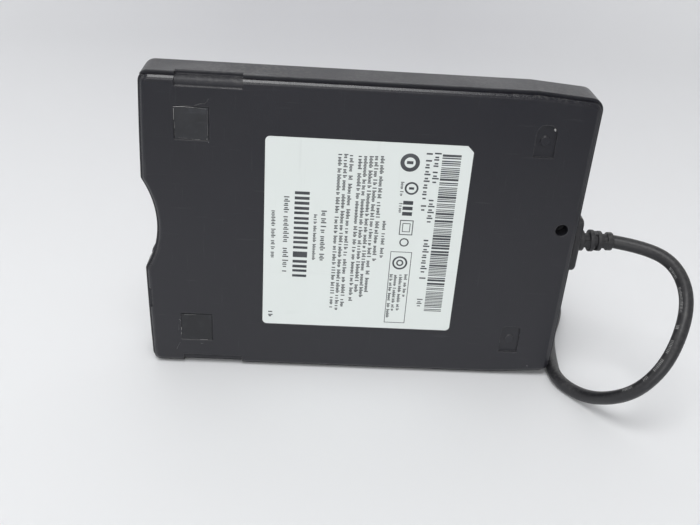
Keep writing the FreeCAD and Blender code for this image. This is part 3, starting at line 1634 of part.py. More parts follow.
save("stepper_motor", stepper_motor())
save("track_zero_sensor", track_zero_sensor())
save("head_flex", head_flex())
save("main_board", main_board())
save("main_board_chips", *main_board_chips())
save("usb_board", usb_board())
save("usb_board_parts", *usb_board_parts())
save("lead_connector", lead_connector())
save("lead_wires", *lead_wires())
save("board_ribbon", board_ribbon())
save("sense_switches", *sense_switches())
for plunger_name, edge_in, side in switches:
    save(plunger_name, plunger(edge_in, side))
save("cable_gland", cable_gland())
save("cable_boot", cable_boot())
save("usb_cable", tube("usb_cable", cord_route))
save("cable_coil", cable_coil())
save("cable_tie", cable_tie())
save("usb_cable_tail", tube("usb_cable_tail", tail_route))
save("usb_plug_body", plug_body())
save("usb_plug_shell", plug_shell())
save("usb_plug_contacts", plug_contacts())
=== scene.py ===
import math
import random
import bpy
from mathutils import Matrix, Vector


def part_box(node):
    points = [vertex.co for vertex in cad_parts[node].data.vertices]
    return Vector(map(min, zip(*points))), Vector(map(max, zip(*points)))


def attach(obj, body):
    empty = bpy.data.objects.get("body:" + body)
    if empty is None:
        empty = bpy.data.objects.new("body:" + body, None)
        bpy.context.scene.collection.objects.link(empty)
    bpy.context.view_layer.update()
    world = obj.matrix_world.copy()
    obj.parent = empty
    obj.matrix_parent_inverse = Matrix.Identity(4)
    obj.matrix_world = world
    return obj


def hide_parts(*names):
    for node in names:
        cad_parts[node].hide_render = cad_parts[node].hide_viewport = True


bl_info = {
    "name": "External Disk Drive",
    "version": (1, 0, 0),
    "blender": (4, 5, 0),
    "location": "3D View > Sidebar > Disk Drive",
    "description": "Finishes, label print, lead and stage for an external floppy disk drive",
    "category": "Object",
}

import bmesh
import bpy
from mathutils import Matrix, Vector, geometry

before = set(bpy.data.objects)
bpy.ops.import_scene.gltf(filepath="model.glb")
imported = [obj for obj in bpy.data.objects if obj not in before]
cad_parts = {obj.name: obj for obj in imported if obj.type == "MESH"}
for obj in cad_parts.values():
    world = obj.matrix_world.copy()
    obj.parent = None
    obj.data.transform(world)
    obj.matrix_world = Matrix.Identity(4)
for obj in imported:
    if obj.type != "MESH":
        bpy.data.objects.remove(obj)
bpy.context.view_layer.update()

MM = 0.001
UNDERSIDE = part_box("bottom_cover")[0].y  # the face that carries the label
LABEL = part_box("rating_label")
CASE_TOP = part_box("top_cover")[1].z
CORD_EXIT = (0.0853, -0.001, 0.052)
GRIP_START = -0.0589  # of the recesses for the fingers in both long edges
GRIP_LENGTH = 0.0203

# the lead's turning points in metres: out of the boot, over and down to the floor, then round the
# rear corner and along the floor to the coil
LEAD_RUN = (CORD_EXIT, (0.0966, -0.0047, 0.0521), (0.1045, -0.0129, 0.0497),
            (0.1049, -0.0262, 0.0434), (0.0989, -0.0366, 0.0306), (0.0922, -0.0381, 0.0194),
            (0.0858, -0.0339, 0.0111), (0.0798, -0.0223, 0.00225), (0.0722, -0.0125, 0.00225),
            (0.0734, 0.0008, 0.00225), (0.0750, 0.0110, 0.00225), (0.0775, 0.0190, 0.00225))
LEAD_TAIL = ((0.0470, 0.0664, 0.0069), (0.0385, 0.0644, 0.0068), (0.0285, 0.0638, 0.0054),
             (0.0185, 0.0618, 0.0023), (0.0090, 0.0608, 0.0030), (0.0005, 0.0608, 0.0040))
# the coil in degrees: where it starts, turns back and ends, one step, and where it climbs
COIL_FIRST = -30
COIL_BACK = 690
COIL_LAST = 1150
COIL_STEP = 20
CLIMB_FIRST = 590
CLIMB_SPAN = 140.0
TURN_GAP = 0.0002  # between the turns on the floor and those on top
# how far the tie lifts the lower and the upper turns, where it is and over what angle
TIE_LIFTS = (0.0009, 0.0011)
TIE_ANGLE = 180
TIE_SPAN = 50.0
STRAP_STEPS = 24
STRAP_SLACK = 0.0003
# the strap's head: half its length along X, past the strap along Y, and below and above it
HEAD_REACH = 0.003
HEAD_PAST = 0.0006
HEAD_BELOW = 0.0004
HEAD_ABOVE = 0.001
# the bars on the plug: how many, start, pitch, width, half their length, depth in it and height
BAR_COUNT = 6
BAR_START = 0.007
BAR_PITCH = 0.0022
BAR_WIDTH = 0.001
BAR_REACH = 0.0045
BAR_DEPTH = 0.0002
BAR_LIFT = 0.0003
LOOP_MIDDLE = (0.090, -0.018, 0.034)  # of the hanging loop
# print along the lead, as lengths from the boot in metres
PRINT_START = 0.022
PRINT_PITCH = 0.00052
PRINT_FACING = (-0.15, -0.88, 0.45)
PRINT_LIFT = 0.00001
MARK_WIDTHS = (0.00018, 0.00018, 0.0003)
MARK_ANGLES = (0.2, 0.26, 0.26)  # half of the angle that a mark takes round the lead
PRINT_WORDS = ((0.0225, 0.0275), (0.0312, 0.0405), (0.0445, 0.0462), (0.0500, 0.0545), (0.0568, 0.0610),
               (0.0640, 0.0662), (0.0700, 0.0745))


# ---- settings ----
def colour(name, description, value):
    return bpy.props.FloatVectorProperty(name=name, description=description, default=value,
                                         subtype="COLOR", size=3, min=0.0, max=1.0)


def length(name, description, value):
    return bpy.props.FloatProperty(name=name, description=description, default=value, min=0.0,
                                   unit="LENGTH", subtype="DISTANCE", precision=5)


def amount(name, description, value, high=1.0):
    return bpy.props.FloatProperty(name=name, description=description, default=value, min=0.0,
                                   max=high)


class DriveFinishes(bpy.types.PropertyGroup):
    """Colours of the drive's plastics, label, lead and metals."""
    case: colour("Case", "Charcoal plastic of the case", (0.0036, 0.0038, 0.0088))
    label: colour("Label", "Pale film of the rating label", (0.755, 0.80, 0.785))
    ink: colour("Ink", "Dark ink of the label's print", (0.035, 0.04, 0.048))
    pad: colour("Pad", "Film left on the two front pads", (0.019, 0.020, 0.0235))
    residue: colour("Residue", "Dried adhesive round the pads", (0.40, 0.40, 0.40))
    lead: colour("Lead", "Jacket of the lead and its mouldings", (0.0150, 0.0150, 0.0175))
    lead_print: colour("Lead print", "Pale marks printed along the lead", (0.19, 0.19, 0.19))
    lamp: colour("Lamp", "Green lens of the access lamp", (0.10, 0.38, 0.13))
    steel: colour("Steel", "Plated steel of the mechanism", (0.60, 0.60, 0.58))
    board: colour("Board", "Solder mask of the circuit boards", (0.02, 0.11, 0.045))


class DriveSizes(bpy.types.PropertyGroup):
    """Sizes of the pieces that are added to the solids."""
    lead_diameter: length("Lead diameter", "Outside diameter of the lead", 0.0045)
    lead_length: length("Lead length", "Length of the lead from the boot to the plug", 0.68)
    coil_centre_x: length("Coil centre X", "Middle of the coil across the front", 0.0560)
    coil_centre_y: length("Coil centre Y", "Middle of the coil behind the drive", 0.0408)
    coil_radius: length("Coil radius", "Radius of the coil's outermost turn", 0.0282)
    coil_pitch: length("Coil pitch", "Distance from one turn of the coil to the next", 0.0046)
    strap_width: length("Strap width", "Width of the strap round the coil", 0.006)
    strap_thick: length("Strap thickness", "Thickness of the strap round the coil", 0.0008)
    ink_height: length("Ink height", "How far the print stands off the label", 0.000012)
    residue_radius: length("Residue radius", "Half the thickness of an adhesive strand", 0.000055)


class DriveStage(bpy.types.PropertyGroup):
    """Floor, backdrop and lamps."""
    floor: colour("Floor", "Colour of the floor", (0.80, 0.81, 0.825))
    near: colour("Near floor", "Colour of the floor in front, past the view", (0.40, 0.405, 0.42))
    wall: colour("Far floor", "Colour that the floor fades to away from the drive", (0.60, 0.605, 0.63))
    high: colour("High wall", "Colour of the backdrop above the view", (0.97, 0.97, 0.97))
    key_power: amount("Key lamp", "Power of the lamp above, in watts", 5.8, 500.0)
    fill_power: amount("Fill lamp", "Power of the lamp in front, in watts", 5.2, 500.0)
    side_power: amount("Side lamp", "Power of the lamp at the left, in watts", 1.2, 500.0)
    back_power: amount("Back lamp", "Power of the lamp that lights the backdrop, in watts", 0.9, 500.0)
    wash_power: amount("Wash lamp", "Power of the lamp that lights the high wall, in watts", 1.6, 500.0)
    ambient: amount("Ambient", "Strength of the even light from all round", 0.5, 5.0)


def finishes():
    return bpy.context.scene.drive_finishes


def sizes():
    return bpy.context.scene.drive_sizes


# ---- node building ----
def node(tree, kind, inputs=None, **settings):
    """Add one shader node. Inputs are values or sockets, keyed by name or number."""
    made = tree.nodes.new("ShaderNode" + kind)
    for key, value in settings.items():
        setattr(made, key, value)
    for key, value in (inputs or {}).items():
        if isinstance(value, bpy.types.NodeSocket):
            tree.links.new(value, made.inputs[key])
        else:
            made.inputs[key].default_value = value
    return made


def maths(tree, operation, a, b=0.0, c=0.0, clamp=False):
    return node(tree, "Math", {0: a, 1: b, 2: c}, operation=operation, use_clamp=clamp).outputs[0]


def times(tree, a, b, clamp=False):
    return maths(tree, "MULTIPLY", a, b, clamp=clamp)


def blend_colours(tree, factor, a, b):
    return node(tree, "Mix", {0: factor, 6: a, 7: b}, data_type="RGBA").outputs[2]


def tint(tree, tone, mask, share, rgba):
    """Blend a colour into a tone where a mask says, up to a share."""
    return blend_colours(tree, times(tree, mask, share), tone, rgba)


def spread(tree, value, low, high, to_low=0.0, to_high=1.0):
    """Stretch the range low..high of a value to to_low..to_high."""
    return node(tree, "MapRange", {0: value, 1: low, 2: high, 3: to_low, 4: to_high}).outputs[0]


def grade(tree, mask, start, end):
    """Run from one value to another as a mask goes from 0 to 1."""
    return spread(tree, mask, 0.0, 1.0, start, end)


def placed(tree, scale=(1.0, 1.0, 1.0), turn=(0.0, 0.0, 0.0)):
    """The piece's own coordinates, stretched and turned."""
    own = node(tree, "TexCoord").outputs["Object"]
    return node(tree, "Mapping", {"Vector": own, "Scale": scale, "Rotation": turn}).outputs[0]


def split_place(tree):
    """The piece's own X, Y and Z."""
    return node(tree, "SeparateXYZ", {0: placed(tree)}).outputs


def split_normal(tree):
    """X, Y and Z of the surface's own normal."""
    return node(tree, "SeparateXYZ", {0: node(tree, "NewGeometry").outputs["Normal"]}).outputs


def noise(tree, scale, detail, place=None, **more):
    """Smooth noise over the piece's own coordinates or over stretched ones."""
    place = placed(tree) if place is None else place
    return node(tree, "TexNoise", {"Vector": place, "Scale": scale, "Detail": detail, **more}).outputs[0]


def relief(tree, height, depth, distance=0.0001, **more):
    """The normal of a surface that is raised by a height."""
    given = {"Strength": depth, "Distance": distance, "Height": height, **more}
    return node(tree, "Bump", given).outputs[0]


# ---- shared effects ----
EFFECTS = {}


def shared(**inputs):
    """Keep a function as an effect for the materials to share. Its inputs are numbers."""
    def keep(build):
        EFFECTS[build.__name__] = build, inputs
        return build
    return keep


@shared(Scale=3600.0, Blotch=22.0)
def moulded_grain(tree, given):
    """Fine spark-eroded surface of a moulding, with slow changes of tone."""
    fine = noise(tree, given["Scale"], 2.0)
    pits = node(tree, "TexVoronoi", {"Vector": placed(tree), "Scale": given["Scale"]},
                feature="SMOOTH_F1")
    return {"Height": maths(tree, "MULTIPLY_ADD", pits.outputs["Distance"], 0.7, fine),
            "Tone": spread(tree, noise(tree, given["Blotch"], 3.0), 0.3, 0.7)}


@shared(Scale=60.0, Scratch_amount=0.5, Smudge_scale=28.0)
def handling_wear(tree, given):
    """Hairline scratches that run two ways, and soft smudges left by hands."""
    ways = (placed(tree, (1.0, 14.0, 14.0), (0.3, 0.5, 0.2)),
            placed(tree, (16.0, 16.0, 1.0), (0.1, -0.9, 1.1)))
    lines = [spread(tree, noise(tree, given["Scale"], 5.0, way, Roughness=0.65), 0.63, 0.72)
             for way in ways]
    both = maths(tree, "MAXIMUM", *lines)
    hand = noise(tree, given["Smudge scale"], 4.0, Distortion=0.6)
    return {"Scratches": times(tree, both, given["Scratch amount"], True),
            "Smudges": spread(tree, hand, 0.42, 0.68)}


@shared(Radius=0.0006, Scale=300.0)
def edge_wear(tree, given):
    """Where an edge turns over, broken up so that it looks rubbed. The paler tint that materials give it
    is rubbed wear, and on the case partly a painted highlight that also lightens the shaded seam between
    the covers.
    """
    rounded = node(tree, "Bevel", {"Radius": given["Radius"]}, samples=4).outputs[0]
    flat = node(tree, "NewGeometry").outputs["Normal"]
    turned = node(tree, "VectorMath", {0: rounded, 1: flat}, operation="DOT_PRODUCT")
    edge = spread(tree, turned.outputs["Value"], 0.995, 0.90)
    broken = spread(tree, noise(tree, given["Scale"], 3.0), 0.35, 0.65)
    return {"Mask": times(tree, edge, broken, True)}


@shared(Sharpness=0.3)
def bevel_sheen(tree, given):
    """Where the surface leans halfway between the faces of a box, as on a bevel along an edge."""
    normal = split_normal(tree)
    both = maths(tree, "ABSOLUTE", times(tree, normal["Y"], normal["Z"]))
    low = maths(tree, "SUBTRACT", 0.5, given["Sharpness"])
    return {"Mask": spread(tree, both, low, 0.45)}


@shared(Start=0.0, End=0.0, Middle=0.052, Reach=0.0485, Back=-0.004)
def grip_finish(tree, given):
    """Coarser finish inside the grips, between two places along X and out near both long edges."""
    own = split_place(tree)
    between = times(tree, maths(tree, "GREATER_THAN", own["X"], given["Start"]),
                    maths(tree, "LESS_THAN", own["X"], given["End"]))
    off_middle = maths(tree, "ABSOLUTE", maths(tree, "SUBTRACT", own["Z"], given["Middle"]))
    edge = times(tree, maths(tree, "GREATER_THAN", off_middle, given["Reach"]),
                 maths(tree, "LESS_THAN", own["Y"], given["Back"]))
    return {"Mask": times(tree, between, edge)}


@shared(Height=0.0, Depth=0.25, Radius=0.0004)
def rounded_grain(tree, given):
    """Surface relief over edges that look slightly rounded, as a moulding's do."""
    rounded = node(tree, "Bevel", {"Radius": given["Radius"]}, samples=6).outputs[0]
    return {"Normal": relief(tree, given["Height"], given["Depth"], Normal=rounded)}


@shared(Scale=900.0, Cover=0.5)
def settled_dust(tree, given):
    """Specks and a thin film on what faces up."""
    specks = spread(tree, noise(tree, given["Scale"], 4.0), 0.45, 0.62)
    film = spread(tree, noise(tree, 40.0, 3.0), 0.3, 0.7)
    upward = spread(tree, split_normal(tree)["Z"], 0.1, 0.95)
    seen = times(tree, times(tree, upward, film), specks)
    return {"Mask": times(tree, seen, given["Cover"], True)}


@shared(Scale=120.0, Mottle=90.0)
def rolled_sheet(tree, given):
    """Rolling lines of sheet metal along one way, with a soft mottle."""
    lines = noise(tree, given["Scale"], 4.0, placed(tree, (1.0, 1.0, 30.0)), Roughness=0.7)
    return {"Height": lines, "Tone": spread(tree, noise(tree, given["Mottle"], 4.0), 0.3, 0.7)}


@shared(Scale=260.0)
def board_pattern(tree, given):
    """Straight tracks at right angles, round pads and the weave under the mask."""
    own = placed(tree, (1.0, 0.0, 1.0))
    cells = node(tree, "TexVoronoi", {"Vector": own, "Scale": given["Scale"], "Randomness": 0.85},
                 distance="MANHATTAN").outputs["Distance"]
    weave = node(tree, "TexWave", {"Vector": own, "Scale": 900.0, "Distortion": 1.0})
    return {"Tracks": spread(tree, maths(tree, "PINGPONG", cells, 0.22), 0.09, 0.13),
            "Pads": spread(tree, cells, 0.17, 0.13), "Height": weave.outputs["Fac"]}


def build_effect(name):
    """The node group of a shared effect, with an output for each thing that its function returns."""
    build, inputs = EFFECTS[name]
    group = bpy.data.node_groups.new(name, "ShaderNodeTree")
    for key, value in inputs.items():
        made = group.interface.new_socket(key.replace("_", " "), in_out="INPUT",
                                          socket_type="NodeSocketFloat")
        made.default_value = value
    found = build(group, group.nodes.new("NodeGroupInput").outputs)
    for key in found:
        kind = "NodeSocketVector" if key == "Normal" else "NodeSocketFloat"
        group.interface.new_socket(key, in_out="OUTPUT", socket_type=kind)
    out = group.nodes.new("NodeGroupOutput").inputs
    for key, value in found.items():
        group.links.new(value, out[key])
    return group


def effect(tree, name, **values):
    """Place a shared effect in a material, with its own values or links."""
    inputs = {key.replace("_", " ").capitalize(): value for key, value in values.items()}
    group = bpy.data.node_groups.get(name) or build_effect(name)
    return node(tree, "Group", inputs, node_tree=group).outputs


# ---- materials ----
DUST = (0.32, 0.31, 0.29, 1.0)
MASKED_COPPER = (0.05, 0.20, 0.07, 1.0)
SOLDER = (0.62, 0.60, 0.56, 1.0)


def new_material(name, **constants):
    """A material with one Principled shader. Constants go on the shader's own sockets."""
    made = bpy.data.materials.new(name)
    made.use_nodes = True
    tree = made.node_tree
    shader = tree.nodes["Principled BSDF"]
    for key, value in constants.items():
        shader.inputs[key.replace("_", " ")].default_value = value
    return made, tree, shader.inputs


def opaque(rgb, factor=1.0):
    return (rgb[0] * factor, rgb[1] * factor, rgb[2] * factor, 1.0)


def feed(tree, sockets, tone, rough, normal):
    """Give a shader its colour, roughness and normal."""
    for key, value in (("Base Color", tone), ("Roughness", rough), ("Normal", normal)):
        tree.links.new(value, sockets[key])


def plastic(name, rgb, roughness=0.5, grain=3600.0, depth=0.25, scratches=0.5, dust=0.5, wear_and_highlight=0.35,
            blotch=0.12, painted_low_reflection=0.0, sheen=0.0, rounded=0.0003, grips=None):
    """Moulded plastic: grain, tone, scratches, smudges, rubbed edges that also carry a painted highlight,
    dust, a painted reflection of the floor that makes it paler low down, and sheen.
    """
    made, tree, sockets = new_material(name, IOR=1.5)
    grained = effect(tree, "moulded_grain", scale=grain)
    handled = effect(tree, "handling_wear", scratch_amount=scratches)
    edges = effect(tree, "edge_wear")["Mask"]
    rubbed = effect(tree, "bevel_sheen")["Mask"]
    pale = opaque([c + 0.10 for c in rgb])
    tone = blend_colours(tree, grained["Tone"], opaque(rgb, 1.0 - blotch), opaque(rgb, 1.0 + blotch))
    # Painted reflection: the colour turns paler towards the bottom, in place of the bright floor seen in
    # the surface.
    low = spread(tree, split_place(tree)["Z"], CASE_TOP, 0.0, 0.0, painted_low_reflection)
    tone = blend_colours(tree, low, tone, opaque([c + 0.02 for c in rgb]))
    # Paler edges: rubbed wear, and on the case partly a painted highlight on the edges and over the shaded
    # seam between the covers.
    tone = tint(tree, tone, edges, wear_and_highlight, pale)
    tone = tint(tree, tone, handled["Scratches"], 0.22, pale)
    tone = tint(tree, tone, effect(tree, "settled_dust", cover=dust)["Mask"], 0.5, DUST)
    rough = maths(tree, "MULTIPLY_ADD", handled["Smudges"], -0.10, roughness + 0.04)
    rough = maths(tree, "MULTIPLY_ADD", handled["Scratches"], 0.12, rough)
    rough = maths(tree, "MULTIPLY_ADD", edges, -0.12, rough)
    if grips:
        rough = maths(tree, "MULTIPLY_ADD", effect(tree, "grip_finish", **grips)["Mask"], 0.3, rough)
    rough = maths(tree, "MULTIPLY_ADD", rubbed, -sheen, rough, clamp=True)
    radius = maths(tree, "MULTIPLY_ADD", rubbed, -0.8 * rounded, rounded)
    raised = effect(tree, "rounded_grain", height=grained["Height"], depth=depth, radius=radius)
    feed(tree, sockets, tone, rough, raised["Normal"])
    return made


def metal(name, rgb, roughness=0.35, scale=120.0, depth=0.15, scratches=0.5, shade=0.12):
    """Plated or bare metal: rolling lines, mottle, hairline scratches and bright edges."""
    made, tree, sockets = new_material(name, Metallic=1.0)
    sheet = effect(tree, "rolled_sheet", scale=scale)
    handled = effect(tree, "handling_wear", scratch_amount=scratches, scale=90.0)
    edges = effect(tree, "edge_wear", radius=0.0003)["Mask"]
    tone = blend_colours(tree, sheet["Tone"], opaque(rgb, 1.0 - shade), opaque(rgb, 1.0 + shade))
    tone = tint(tree, tone, edges, 0.4, opaque(rgb, 1.35))
    rough = maths(tree, "MULTIPLY_ADD", sheet["Tone"], 0.12, roughness - 0.06)
    rough = maths(tree, "MULTIPLY_ADD", handled["Scratches"], 0.15, rough)
    feed(tree, sockets, tone, rough, relief(tree, sheet["Height"], depth, 0.00005))
    return made


def label_film(name, rgb):
    """Printed film: faint creases, yellowed smudges and a soft sheen."""
    made, tree, sockets = new_material(name, IOR=1.45)
    grained = effect(tree, "moulded_grain", scale=1500.0, blotch=14.0)
    handled = effect(tree, "handling_wear", scale=16.0, scratch_amount=0.9, smudge_scale=40.0)
    tone = blend_colours(tree, grained["Tone"], opaque(rgb, 0.985), opaque(rgb, 1.01))
    tone = tint(tree, tone, handled["Scratches"], 0.10, opaque(rgb, 0.55))
    yellowed = opaque((rgb[0], rgb[1] * 0.98, rgb[2] * 0.88), 0.85)
    tone = tint(tree, tone, handled["Smudges"], 0.05, yellowed)
    feed(tree, sockets, tone, grade(tree, handled["Smudges"], 0.5, 0.38),
         relief(tree, grained["Height"], 0.08, 0.00003))
    return made


def pad_film(name, rgb):
    """Thin film with swirls of old adhesive under it."""
    made, tree, sockets = new_material(name, IOR=1.45)
    handled = effect(tree, "handling_wear", scale=30.0, scratch_amount=0.8, smudge_scale=150.0)
    grained = effect(tree, "moulded_grain", scale=900.0, blotch=200.0)
    swirl = noise(tree, 130.0, 3.0, Distortion=2.2)
    tone = blend_colours(tree, grained["Tone"], opaque(rgb, 0.8), opaque(rgb, 1.15))
    tone = blend_colours(tree, spread(tree, swirl, 0.52, 0.66, 0.0, 0.5), tone, opaque(rgb, 2.2))
    tone = tint(tree, tone, handled["Scratches"], 0.4, opaque(rgb, 2.6))
    lower = spread(tree, split_place(tree)["Z"], 0.08, 0.02, 0.0, 0.6)
    tone = blend_colours(tree, lower, tone, opaque(rgb, 0.6))
    feed(tree, sockets, tone, grade(tree, handled["Smudges"], 0.46, 0.3), relief(tree, swirl, 0.25))
    return made


def ink(name, rgb):
    """Thermal print: slightly broken where the film shows through."""
    made, tree, sockets = new_material(name, IOR=1.4)
    grained = effect(tree, "moulded_grain", scale=5200.0, blotch=120.0)
    tone = blend_colours(tree, grained["Tone"], opaque(rgb), opaque([c + 0.05 for c in rgb]))
    feed(tree, sockets, tone, grade(tree, grained["Tone"], 0.42, 0.62),
         relief(tree, grained["Height"], 0.1, 0.00002))
    return made


def board_mask(name, rgb):
    """Circuit board: green mask over copper tracks, bare pads and a woven base."""
    made, tree, sockets = new_material(name, IOR=1.5)
    pattern = effect(tree, "board_pattern")
    handled = effect(tree, "handling_wear", scratch_amount=0.2)
    tone = blend_colours(tree, pattern["Tracks"], opaque(rgb), MASKED_COPPER)
    tone = blend_colours(tree, pattern["Pads"], tone, SOLDER)
    tree.links.new(pattern["Pads"], sockets["Metallic"])
    feed(tree, sockets, tone, grade(tree, handled["Smudges"], 0.32, 0.45),
         relief(tree, pattern["Height"], 0.12, 0.00004))
    return made


def wound_wire(name, rgb):
    """Enamelled wire: tight rounds, with painted shade in the grooves between them, and a lacquer sheen.
    """
    made, tree, sockets = new_material(name, Metallic=1.0)
    wave = node(tree, "TexWave", {"Vector": placed(tree), "Scale": 900.0, "Distortion": 0.4})
    rounds = wave.outputs["Fac"]
    sheet = effect(tree, "rolled_sheet", mottle=400.0)
    # Painted shade: darker in the grooves between the rounds, lighter on their tops.
    tone = blend_colours(tree, rounds, opaque(rgb, 0.55), opaque(rgb, 1.1))
    feed(tree, sockets, tone, grade(tree, sheet["Tone"], 0.25, 0.42), relief(tree, rounds, 0.6))
    return made


def lamp_lens(name, rgb):
    """Tinted clear lens, faintly hazed."""
    made, tree, sockets = new_material(name, IOR=1.49, Transmission_Weight=0.5)
    grained = effect(tree, "moulded_grain", scale=2400.0, blotch=300.0)
    tone = blend_colours(tree, grained["Tone"], opaque(rgb, 0.8), opaque(rgb, 1.15))
    feed(tree, sockets, tone, grade(tree, grained["Tone"], 0.18, 0.32),
         relief(tree, grained["Height"], 0.05, 0.00003))
    return made


def floor_paper(name, settings):
    """Matt paper: darker in front of the view and far behind the drive, paler high up."""
    made, tree, sockets = new_material(name)
    grained = effect(tree, "moulded_grain", scale=900.0, blotch=2.5)
    place = split_place(tree)
    behind = spread(tree, place["Y"], 0.05, 0.5)
    level = spread(tree, place["Z"], 0.30, 0.08)
    beside = spread(tree, maths(tree, "ABSOLUTE", place["X"]), 0.08, 0.34, 1.0, 0.35)
    away = times(tree, times(tree, behind, level), beside)
    tone = opaque(settings.floor)
    for mask, rgb in ((away, settings.wall), (spread(tree, place["Y"], -0.13, -0.30), settings.near),
                      (spread(tree, place["Z"], 0.22, 0.40), settings.high)):
        tone = blend_colours(tree, mask, tone, opaque(rgb))
    tone = tint(tree, tone, grained["Tone"], 0.02, (0.5, 0.5, 0.5, 1.0))
    feed(tree, sockets, tone, grade(tree, grained["Tone"], 0.6, 0.7),
         relief(tree, grained["Height"], 0.05))
    return made


def dress(material, *nodes):
    """Give CAD nodes a finish. Their shapes stay as they are."""
    for name in nodes:
        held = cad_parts[name].data.materials
        held.clear()
        held.append(material)


# ---- mesh building ----
def add_block(mesh, low, high):
    """A closed block between two corners."""
    corners = [mesh.verts.new((x, y, z)) for x in (low[0], high[0]) for y in (low[1], high[1])
               for z in (low[2], high[2])]
    for face in ((0, 1, 3, 2), (4, 6, 7, 5), (0, 4, 5, 1), (2, 3, 7, 6), (0, 2, 6, 4), (1, 5, 7, 3)):
        mesh.faces.new([corners[i] for i in face])


def close_loop(mesh, rows):
    """Faces from each row of four corners to the next, and from the last row to the first."""
    for a, b in zip(rows, rows[1:] + rows[:1]):
        for i in range(4):
            j = (i + 1) % 4
            mesh.faces.new((a[i], a[j], b[j], b[i]))


def add_object(name, data):
    made = bpy.data.objects.new(name, data)
    bpy.context.scene.collection.objects.link(made)
    return made


def mesh_object(name, mesh, material):
    """Turn built mesh data into an object."""
    data = bpy.data.meshes.new(name)
    mesh.to_mesh(data)
    mesh.free()
    data.materials.append(material)
    return add_object(name, data)


def finish_piece(name, mesh, material):
    """Turn built mesh data into a piece that rides on the case, with its faces outwards."""
    bmesh.ops.recalc_face_normals(mesh, faces=mesh.faces)
    piece = mesh_object(name, mesh, material)
    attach(piece, "case")
    return piece


def new_line(name, radius, rounds, material):
    """A round line with closed ends, to which runs are added."""
    line = bpy.data.curves.new(name, "CURVE")
    line.dimensions = "3D"
    line.bevel_depth = radius
    line.bevel_resolution = rounds
    line.use_fill_caps = True
    line.materials.append(material)
    return line


def add_run(line, places):
    """A smooth run that the places pull into shape."""
    run = line.splines.new("NURBS")
    run.points.add(len(places) - 1)
    for point, place in zip(run.points, places):
        point.co = (*place, 1.0)
    run.order_u = min(3, len(places))
    run.use_endpoint_u = True
    return run


# ---- label ----
# small print in columns: X of the middle, Z where it starts, Z where it ends, height, boldness (mm)
PRINT_LINES = ((-28.6, 60.9, 42.7, 1.45, 0.42), (-24.5, 66.1, 37.5, 1.9, 0.36),
               (-15.2, 60.2, 43.4, 1.1, 0.5), (-12.5, 61.7, 42.5, 1.75, 0.42),
               (-8.4, 81.3, 24.0, 1.3, 0.5), (-6.6, 81.4, 23.4, 1.3, 0.5), (-4.8, 81.1, 25.6, 1.3, 0.5),
               (-2.1, 81.0, 27.2, 1.3, 0.5), (-0.4, 81.0, 31.6, 1.3, 0.5), (1.3, 81.1, 29.4, 1.3, 0.5),
               (3.0, 81.2, 31.4, 1.3, 0.5), (4.8, 81.3, 43.3, 1.3, 0.5), (7.1, 59.0, 44.5, 1.2, 0.5),
               (11.7, 73.0, 68.0, 1.1, 0.45), (11.8, 65.6, 61.2, 1.1, 0.45),
               (15.9, 39.6, 30.2, 1.1, 0.5), (14.2, 39.4, 25.0, 1.1, 0.5), (12.5, 39.2, 24.4, 1.1, 0.5),
               (11.0, 39.4, 21.4, 1.1, 0.5), (-29.0, 23.0, 19.8, 1.5, 0.5))
# wider spaced print: the same, then its pitch
SPACED_LINES = ((19.2, 83.1, 60.8, 1.9, 0.32, 2.3), (21.85, 83.3, 71.4, 2.1, 0.32, 2.1),
                (21.6, 67.3, 57.0, 2.1, 0.32, 2.1), (21.5, 52.9, 36.0, 2.1, 0.32, 2.1),
                (21.5, 30.3, 26.6, 1.9, 0.32, 1.6))
BOLD_BAND = (-19.7, 68.0, 36.2, 4.7)
BOLD_COUNT = 9
TICK_BAND = (23.3, 29.2, 25.0, 82.9)  # X and Z of both ends
# plain shapes in the places of the approval marks. Rings: X and Z of the middle, outer and inner
# radius. Blocks: X and Z of both ends. Frames: the same, then the line's width
RINGS = ((13.4, 79.6, 3.05, 1.75), (14.7, 70.9, 2.2, 1.6), (14.1, 51.6, 1.55, 1.1),
         (13.4, 43.9, 2.5, 1.9), (13.4, 43.9, 1.2, 0.7))
BLOCKS = ((12.4, 14.4, 79.1, 80.1), (13.9, 15.5, 70.5, 71.3), (12.5, 15.7, 65.2, 66.5),
          (12.5, 15.7, 63.3, 64.5), (12.5, 15.7, 61.3, 62.6))
FRAMES = ((12.1, 16.5, 54.3, 59.7, 0.3), (13.0, 15.6, 55.4, 58.6, 0.25), (10.0, 17.1, 20.3, 48.1, 0.22))
RING_SIDES = 40
# greeked words: pitch and stroke against their height, gap between words, heights of the ticks
PITCH_SHARE = 0.78
STROKE_SHARE = 0.36
USUAL_WEIGHT = 0.5
WORD_GAP = 0.75
TICK_HEIGHTS = (0.74, 0.74, 1.0, 1.0, 0.9)
SECOND_TICKS = 0.7  # share of ticks with a shorter one beside them
SECOND_PLACE = (0.12, 0.68, 0.84)  # its ends in the height, and how far on in the pitch
BLOCK_SHARE = 0.80
BLOCK_CUTS = (0.0, 0.28, 0.36)
BAND_WIDTHS = (0.3, 0.3, 0.42, 0.75)
BAND_GAPS = (0.28, 0.28, 0.28, 0.6)
INK_BACK = 0.00003  # how far the print reaches into the label, in metres


